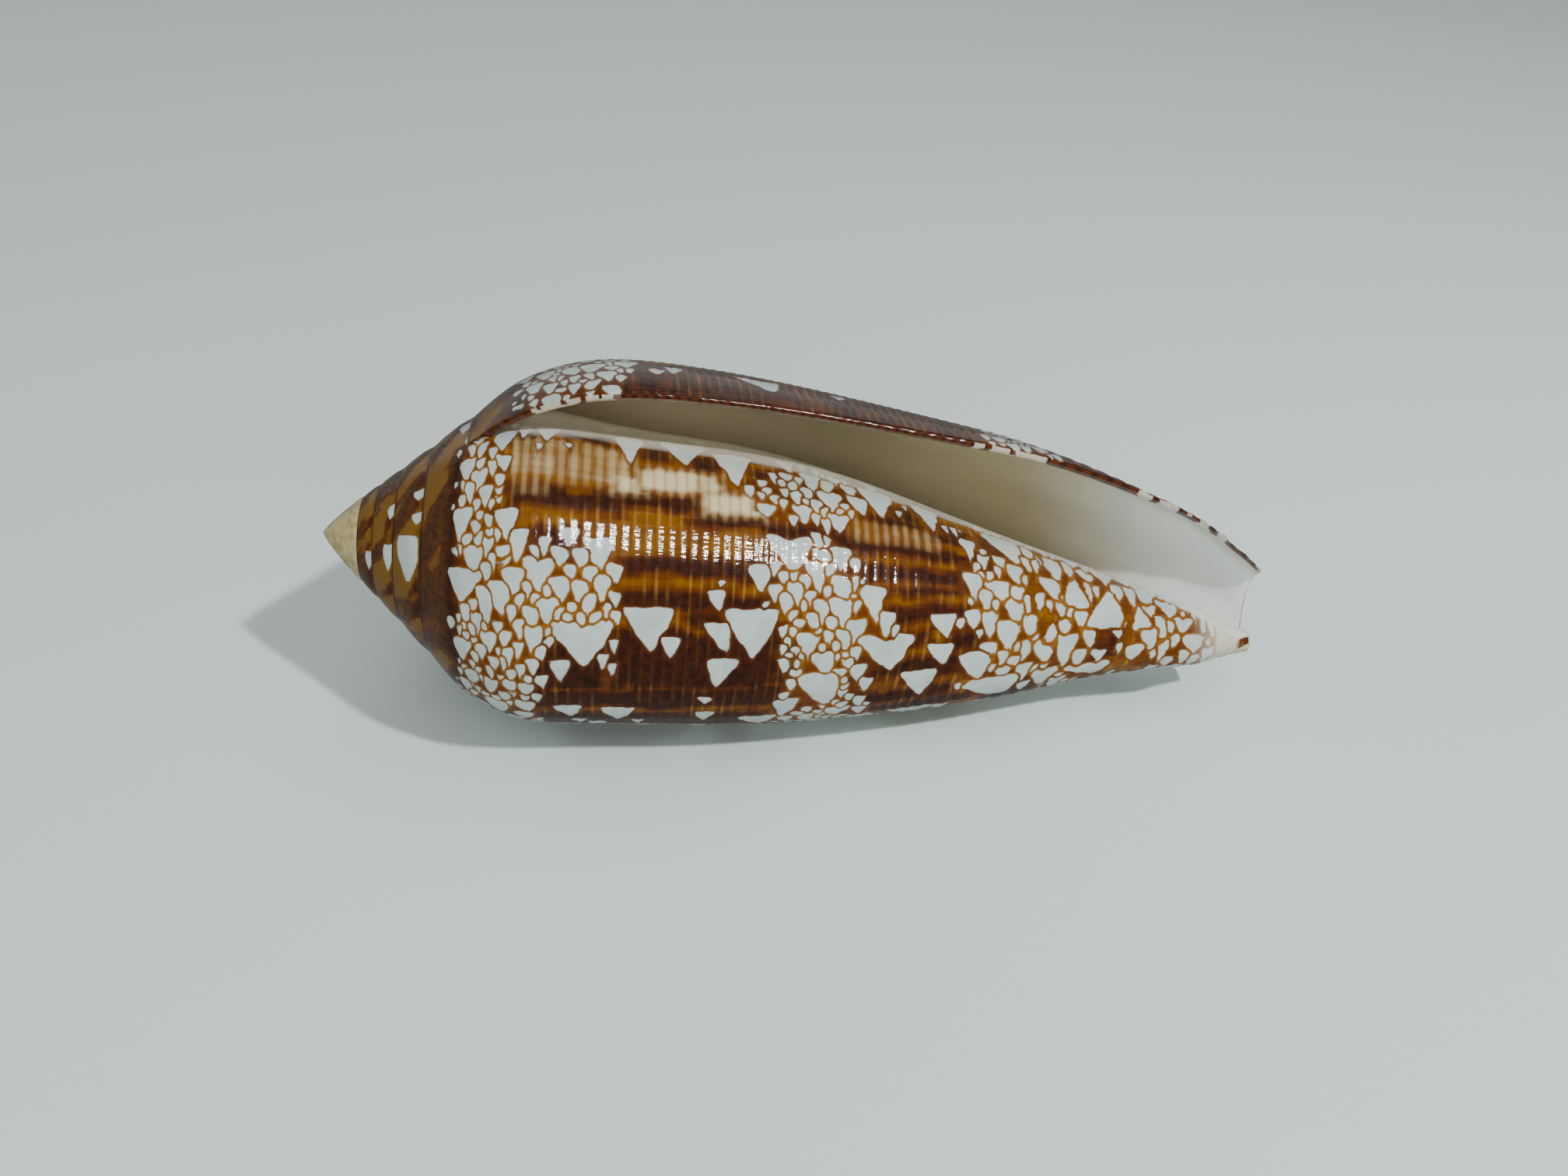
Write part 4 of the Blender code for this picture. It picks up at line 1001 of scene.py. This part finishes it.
class Nodes:
    def __init__(self, tree):
        self.tree = tree

    def new(self, kind, **props):
        node = self.tree.nodes.new(kind)
        for k, v in props.items():
            setattr(node, k, v)
        return node

    def plug(self, value, socket):
        if isinstance(value, bpy.types.NodeSocket):
            self.tree.links.new(value, socket)
        else:
            socket.default_value = value

    def math(self, op, a, b=None, clamp=False):
        node = self.new("ShaderNodeMath", operation=op, use_clamp=clamp)
        self.plug(a, node.inputs[0])
        if b is not None:
            self.plug(b, node.inputs[1])
        return node.outputs[0]

    def smooth(self, value, lo, hi, out_lo=0.0, out_hi=1.0):
        node = self.new("ShaderNodeMapRange", interpolation_type="SMOOTHSTEP")
        self.plug(value, node.inputs["Value"])
        self.plug(lo, node.inputs["From Min"])
        self.plug(hi, node.inputs["From Max"])
        self.plug(out_lo, node.inputs["To Min"])
        self.plug(out_hi, node.inputs["To Max"])
        return node.outputs[0]

    def mix(self, factor, a, b, blend="MIX"):
        node = self.new("ShaderNodeMix", data_type="RGBA", blend_type=blend)
        self.plug(factor, node.inputs[0])
        self.plug(a, node.inputs[6])
        self.plug(b, node.inputs[7])
        return node.outputs[2]

    def split(self, name):
        node = self.new("ShaderNodeAttribute", attribute_name=name)
        parts = self.new("ShaderNodeSeparateXYZ")
        self.tree.links.new(node.outputs["Vector"], parts.inputs[0])
        return parts.outputs[0], parts.outputs[1], parts.outputs[2]

    def vector(self, x, y, z):
        node = self.new("ShaderNodeCombineXYZ")
        for i, v in enumerate((x, y, z)):
            self.plug(v, node.inputs[i])
        return node.outputs[0]

    def noise(self, vector, scale, detail=2.0, rough=0.5):
        node = self.new("ShaderNodeTexNoise", noise_dimensions="3D")
        self.tree.links.new(vector, node.inputs["Vector"])
        node.inputs["Scale"].default_value = scale
        node.inputs["Detail"].default_value = detail
        node.inputs["Roughness"].default_value = rough
        return node.outputs[0]


def glaze_material():
    mat = bpy.data.materials.new("shell_glaze_marked")
    mat.use_nodes = True
    tree = mat.node_tree
    n = Nodes(tree)
    shader = tree.nodes["Principled BSDF"]

    a = n.split("tents_a")
    b = n.split("tents_b")
    c = n.split("tents_c")
    band, dark, gold = n.split("zone")
    outside, callus, cream = n.split("glaze")
    ramp, flame, lip = n.split("spire")
    t, round_mm, phase = n.split("way")

    here = n.vector(t, round_mm, 0.0)
    solid = n.new("ShaderNodeTexCoord").outputs["Object"]
    mm = n.new("ShaderNodeVectorMath", operation="SCALE")
    tree.links.new(solid, mm.inputs[0])
    mm.inputs["Scale"].default_value = 1000.0
    mm = mm.outputs[0]
    stretched = n.vector(n.math("MULTIPLY", t, 0.35), n.math("MULTIPLY", round_mm, 2.2), 4.0)
    combed = n.vector(n.math("MULTIPLY", t, 3.2), n.math("MULTIPLY", round_mm, 0.4), 9.0)
    grain = n.noise(mm, 2.2, 3.0)
    fine = n.noise(mm, 7.0, 3.0)
    cloud = n.noise(mm, 0.55, 2.0)
    along = n.noise(stretched, 1.0, 3.0)
    across = n.noise(combed, 1.0, 2.0)

    # nearest and next nearest tent
    first, second = None, None
    for value in (*a, *b, *c):
        value = n.math("ADD", value, n.math("MULTIPLY", n.math("SUBTRACT", grain, 0.5), 0.10))
        if first is None:
            first, second = value, 2.5
        else:
            second = n.math("MINIMUM", second, n.math("MAXIMUM", first, value))
            first = n.math("MINIMUM", first, value)
    gap = n.math("SUBTRACT", second, first)
    net = n.math("SUBTRACT", 1.0, band, clamp=True)
    net = n.math("MULTIPLY", net, n.math("SUBTRACT", 1.0, ramp, clamp=True))
    reach = n.math("ADD", n.math("MULTIPLY", net, 0.09), -0.015)
    edge = n.math("SUBTRACT", first, reach)
    white_shape = n.smooth(edge, -0.045, 0.045, 1.0, 0.0)
    line = n.math("ADD", n.smooth(t, 32.0, 40.0, 0.125, 0.19), n.math("MULTIPLY", n.math("SUBTRACT", fine, 0.5), 0.12))
    clear = n.smooth(n.math("SUBTRACT", gap, line), -0.05, 0.05)
    tent = n.math("MULTIPLY", white_shape, clear)

    # ground between the tents; each raised line shifts the streaks a little
    cord = n.math("ROUND", phase)
    by_cord = n.noise(n.vector(n.math("MULTIPLY", cord, 3.7), n.math("MULTIPLY", round_mm, 0.45), 5.0), 1.0, 2.0)
    ochre = n.mix(n.smooth(cloud, 0.38, 0.66), OCHRE, OCHRE_DEEP)
    ochre = n.mix(n.smooth(along, 0.45, 0.75, 0.0, 0.6), ochre, RUST)
    brown = n.mix(n.smooth(grain, 0.35, 0.7), CHOCOLATE, CHOCOLATE_DEEP)
    shift = n.math("MULTIPLY", n.math("SUBTRACT", by_cord, 0.5), 1.2)
    ragged = n.math("ADD", shift, n.math("MULTIPLY", n.math("SUBTRACT", along, 0.5), 0.7))
    depth = n.math("ADD", dark, ragged)
    rust_on = n.smooth(depth, -0.60, 0.02)
    dark_on = n.smooth(depth, -0.16, 0.34)
    band_colour = n.mix(rust_on, ochre, RUST)
    band_colour = n.mix(dark_on, band_colour, brown)
    # pale lines on the raised spirals, uneven and broken
    wave = n.math("COSINE", n.math("MULTIPLY", phase, TURN))
    crest = n.smooth(n.math("ADD", wave, n.math("MULTIPLY", n.math("SUBTRACT", across, 0.5), 1.4)), 0.30, 1.05)
    weak = n.smooth(n.math("ADD", n.noise(here, 0.42, 2.0), n.math("MULTIPLY", n.math("SUBTRACT", by_cord, 0.5), 0.5)), 0.38, 0.62)
    crest = n.math("MULTIPLY", crest, weak)
    crest = n.math("MULTIPLY", crest, n.smooth(depth, -0.5, 0.8, 0.50, 0.05))
    band_colour = n.mix(crest, band_colour, LINE_GOLD)
    hollow = n.smooth(wave, -1.0, -0.45, 0.42, 0.0)
    pale = n.mix(hollow, PALE_GOLD, LINE_GOLD)
    gold_depth = n.math("ADD", gold, n.math("MULTIPLY", shift, 0.6))
    gold_depth = n.math("ADD", gold_depth, n.math("MULTIPLY", n.math("SUBTRACT", along, 0.5), 0.3))
    half_gold = n.smooth(gold_depth, -0.75, 0.25, 0.0, 0.60)
    tan_cord = n.mix(n.smooth(wave, -0.6, 0.6), srgb(118, 80, 34), srgb(176, 150, 106))
    band_colour = n.mix(half_gold, band_colour, tan_cord)
    gold_on = n.smooth(gold_depth, -0.15, 0.55, 0.0, 0.95)
    band_colour = n.mix(gold_on, band_colour, pale)

    # a darker rim round the tents
    rim = n.smooth(edge, 0.03, 0.20, 0.70, 0.0)
    band_colour = n.mix(rim, band_colour, RUST)

    # netted zones: thin lines, deeper where they meet
    thin = n.mix(n.smooth(edge, 0.00, 0.20), THIN_LINE, srgb(100, 52, 9))
    thin = n.mix(n.smooth(along, 0.45, 0.75, 0.0, 0.6), thin, RUST)
    net_colour = n.mix(n.math("MULTIPLY", rust_on, 0.5), thin, brown)
    ground = n.mix(band, net_colour, band_colour)

    # shoulder and spire
    flicker = n.math("ADD", flame, n.math("MULTIPLY", n.math("SUBTRACT", grain, 0.5), 0.35))
    on_spire = n.smooth(t, 2.6, 3.6, 1.0, 0.0)
    spire_dark = n.mix(n.smooth(grain, 0.35, 0.7), srgb(86, 54, 26), srgb(62, 34, 16))
    spire_dark = n.mix(on_spire, brown, spire_dark)
    spire_colour = n.mix(n.smooth(flicker, 0.28, 0.44), spire_dark, RUST)
    spire_colour = n.mix(n.smooth(flicker, 0.38, 0.56), spire_colour, FLAME)
    seam = n.smooth(t, 0.0, 0.42, 0.85, 0.0)
    seam = n.math("MULTIPLY", seam, ramp)
    spire_colour = n.mix(seam, spire_colour, CHOCOLATE_DEEP)
    ground = n.mix(ramp, ground, spire_colour)

    white = n.mix(n.smooth(cloud, 0.35, 0.7), WHITE, WHITE_COOL)
    white = n.mix(n.math("MULTIPLY", n.smooth(grain, 0.5, 0.8), 0.25), white, WHITE_WARM)
    colour = n.mix(tent, ground, white)

    cream_colour = n.mix(n.smooth(grain, 0.35, 0.7), srgb(206, 190, 142), srgb(182, 158, 106))
    colour = n.mix(n.math("MULTIPLY", cream, 0.92), colour, cream_colour)

    # callus: the glaze's own pale colour, painted lighter still; part of its brightness is painted light for the shaded
    # top of the opening
    glaze = n.mix(cloud, srgb(228, 232, 224), srgb(218, 216, 202))
    veil = n.math("MULTIPLY", callus, n.smooth(callus, 0.0, 0.9, 1.35, 0.96), clamp=True)
    colour = n.mix(veil, colour, glaze)

    # inside: tan behind, lilac white towards the front; the pale tan at the back is painted lighter than the shell, as
    # painted light deep in the hollow
    deep = n.mix(cloud, srgb(250, 236, 204), srgb(242, 222, 184))
    tan = n.mix(cloud, srgb(204, 190, 154), srgb(192, 178, 144))
    lilac = n.mix(cloud, srgb(240, 245, 241), srgb(230, 232, 228))
    hollow_colour = n.mix(n.smooth(t, 11.0, 27.0), deep, tan)
    hollow_colour = n.mix(n.smooth(n.math("ADD", t, n.math("MULTIPLY", round_mm, 0.4)), 32.0, 46.0), hollow_colour, lilac)
    # painted shade: the inside is darkened to a grey-brown band just under the lip's edge, towards the front
    shade_under_lip = n.math("MULTIPLY", n.smooth(round_mm, -2.6, -0.6), n.smooth(t, 24.0, 34.0))
    hollow_colour = n.mix(n.math("MULTIPLY", shade_under_lip, 0.45), hollow_colour, srgb(150, 138, 120))
    # painted shade: near the back, the inside just behind the lip's edge is darkened to brown
    shade_behind_lip = n.math("MULTIPLY", n.smooth(round_mm, -1.9, -0.3), n.smooth(t, 7.0, 10.5, 1.0, 0.0))
    hollow_colour = n.mix(n.math("MULTIPLY", shade_behind_lip, 0.8), hollow_colour, srgb(112, 84, 60))
    inside = n.smooth(outside, 0.35, 0.62, 1.0, 0.0)
    # marks that show at the lip's edge
    dash = n.smooth(n.math("ADD", lip, n.math("MULTIPLY", n.math("SUBTRACT", n.noise(n.vector(n.math("ADD", t, round_mm), 0.0, 3.0), 2.4, 2.0), 0.5), 0.9)), 0.35, 0.62)
    edge_colour = n.mix(dash, srgb(196, 188, 170), n.mix(n.smooth(wave, -0.2, 0.6), srgb(84, 38, 14), srgb(46, 20, 12)))
    colour = n.mix(inside, colour, hollow_colour)
    at_edge = n.math("MULTIPLY", n.smooth(outside, 0.03, 0.22), n.smooth(outside, 0.99, 0.85))
    just_in = n.math("MULTIPLY", n.math("MULTIPLY", inside, n.smooth(round_mm, -0.32, -0.08)), dash)
    at_edge = n.math("MAXIMUM", at_edge, just_in)
    colour = n.mix(n.math("MULTIPLY", at_edge, 0.88), colour, edge_colour)

    tree.links.new(colour, shader.inputs["Base Color"])

    rough = n.smooth(fine, 0.3, 0.75, 0.26, 0.40)
    tree.links.new(rough, shader.inputs["Roughness"])
    shader.inputs["Metallic"].default_value = 0.0
    shader.inputs["IOR"].default_value = 1.33
    shader.inputs["Specular IOR Level"].default_value = 0.06
    shader.inputs["Coat Weight"].default_value = 0.85
    shader.inputs["Coat Roughness"].default_value = 0.03
    shader.inputs["Coat IOR"].default_value = 1.45
    shader.inputs["Subsurface Weight"].default_value = 0.06
    shader.inputs["Subsurface Radius"].default_value = (1.0, 0.7, 0.5)
    shader.inputs["Subsurface Scale"].default_value = 0.0006

    bump = n.new("ShaderNodeBump")
    bump.inputs["Strength"].default_value = 0.8
    bump.inputs["Distance"].default_value = 0.000045
    striae = n.noise(n.vector(n.math("MULTIPLY", t, 6.0), n.math("MULTIPLY", round_mm, 0.7), 2.0), 1.0, 3.0)
    growth = n.noise(n.vector(n.math("MULTIPLY", t, 0.5), n.math("MULTIPLY", round_mm, 5.5), 6.0), 1.0, 3.0)
    height = n.math("ADD", n.math("MULTIPLY", striae, 0.35), n.math("MULTIPLY", growth, 0.65))
    tree.links.new(height, bump.inputs["Height"])
    tree.links.new(bump.outputs[0], shader.inputs["Normal"])
    soft_bump = n.new("ShaderNodeBump")
    soft_bump.inputs["Strength"].default_value = 0.6
    soft_bump.inputs["Distance"].default_value = 0.00005
    broken = n.noise(n.vector(n.math("MULTIPLY", t, 1.1), n.math("MULTIPLY", round_mm, 3.4), 8.0), 1.0, 3.0)
    broken = n.math("ADD", n.math("MULTIPLY", broken, 0.75), n.math("MULTIPLY", height, 0.4))
    tree.links.new(broken, soft_bump.inputs["Height"])
    tree.links.new(soft_bump.outputs[0], shader.inputs["Coat Normal"])
    return mat


# ---------------------------------------------------------------- stage
def floor_material():
    mat = bpy.data.materials.new("floor_pale")
    mat.use_nodes = True
    shader = mat.node_tree.nodes["Principled BSDF"]
    shader.inputs["Base Color"].default_value = srgb(226, 240, 236)
    shader.inputs["Roughness"].default_value = 0.6
    return mat


def make_stage():
    s = 3.0
    mesh = bpy.data.meshes.new("floor")
    mesh.from_pydata([(-s, -s, 0), (s, -s, 0), (s, s, 0), (-s, s, 0)], [], [(0, 1, 2, 3)])
    floor = bpy.data.objects.new("floor", mesh)
    bpy.context.scene.collection.objects.link(floor)
    floor.data.materials.append(floor_material())
    floor.visible_glossy = False

    world = bpy.data.worlds.new("studio")
    world.use_nodes = True
    world.node_tree.nodes["Background"].inputs[0].default_value = (0.80, 0.88, 0.88, 1.0)
    world.node_tree.nodes["Background"].inputs[1].default_value = 0.19
    bpy.context.scene.world = world

    def area(name, at, size_x, size_y, power, colour=(1.0, 1.0, 1.0), aim=(0.0, 0.0, 0.01), mirrored=True):
        light = bpy.data.lights.new(name, "AREA")
        light.shape = "RECTANGLE"
        light.size, light.size_y = size_x, size_y
        light.energy = power
        light.color = colour
        ob = bpy.data.objects.new(name, light)
        bpy.context.scene.collection.objects.link(ob)
        at, aim = np.array(at, float), np.array(aim, float)
        back = (at - aim) / np.linalg.norm(at - aim)
        x = np.array([1.0, 0.0, 0.0]) - back * back[0]
        x /= np.linalg.norm(x)
        y = np.cross(back, x)
        m = Matrix.Identity(4)
        for i in range(3):
            m[i][0], m[i][1], m[i][2], m[i][3] = x[i], y[i], back[i], at[i]
        ob.matrix_world = m
        ob.visible_glossy = mirrored
        return ob

    area("overhead", (0.0, 0.06, 0.60), 0.6, 0.5, 0.55, (0.96, 1.0, 1.0), mirrored=False)
    area("high", (-0.10, -0.22, 0.45), 0.35, 0.30, 0.50, (0.98, 1.0, 0.99), mirrored=False)
    area("front", (0.06, -0.50, 0.21), 0.6, 0.24, 0.98, (0.99, 1.0, 0.97), mirrored=False)
    area("lamp", (0.170, -0.170, 0.285), 0.015, 0.015, 1.05)
    spark = area("spark", (0.122, -0.170, 0.285), 0.082, 0.010, 0.95)
    spark.visible_diffuse = False
    card = area("card", (0.0, 0.42, 0.15), 0.9, 0.26, 0.22, (0.90, 1.0, 0.98))
    card.visible_camera = False
    area("glow", (0.09, 0.20, 0.46), 0.16, 0.16, 0.08)


# ---------------------------------------------------------------- camera, fitted to the photograph
def make_camera():
    tilt, roll, distance = math.radians(34.20), math.radians(-3.67), 79.20
    yaw = math.radians(5.467)
    target = np.array([27.755, 2.370, 9.0])
    centre = np.array([30.2299, 0.8960])  # the middle of the shell's footprint in the same frame
    fwd = np.array([0.0, math.cos(tilt), -math.sin(tilt)])
    right = np.array([1.0, 0.0, 0.0])
    down = np.array([0.0, -math.sin(tilt), -math.cos(tilt)])
    place_mm = target - fwd * distance
    r2 = right * math.cos(roll) + down * math.sin(roll)
    d2 = -right * math.sin(roll) + down * math.cos(roll)
    c, s = math.cos(-yaw), math.sin(-yaw)
    turn = np.array([[c, -s, 0.0], [s, c, 0.0], [0.0, 0.0, 1.0]])
    loc = turn @ place_mm - np.array([centre[0], centre[1], 0.0])
    axes = np.stack([turn @ r2, -(turn @ d2), -(turn @ fwd)], axis=1)
    cam = bpy.data.cameras.new("camera")
    cam.sensor_fit = "HORIZONTAL"
    cam.sensor_width = 36.0
    cam.lens = 36.0 * 1626.5 / 2016.0
    cam.clip_start, cam.clip_end = 0.004, 20.0
    ob = bpy.data.objects.new("camera", cam)
    bpy.context.scene.collection.objects.link(ob)
    m = Matrix.Identity(4)
    for i in range(3):
        m[i][0], m[i][1], m[i][2], m[i][3] = axes[i, 0], axes[i, 1], axes[i, 2], loc[i] * MM
    ob.matrix_world = m
    bpy.context.scene.camera = ob


def main():
    tents = Tents()
    skin = build_skin()
    mesh = make_mesh(skin, tents, None)
    shell = bpy.data.objects.new("cone_shell_skin", mesh)
    bpy.context.scene.collection.objects.link(shell)
    mesh.materials.append(glaze_material())
    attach(shell, "root")
    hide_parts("shell")
    make_stage()
    make_camera()


main()
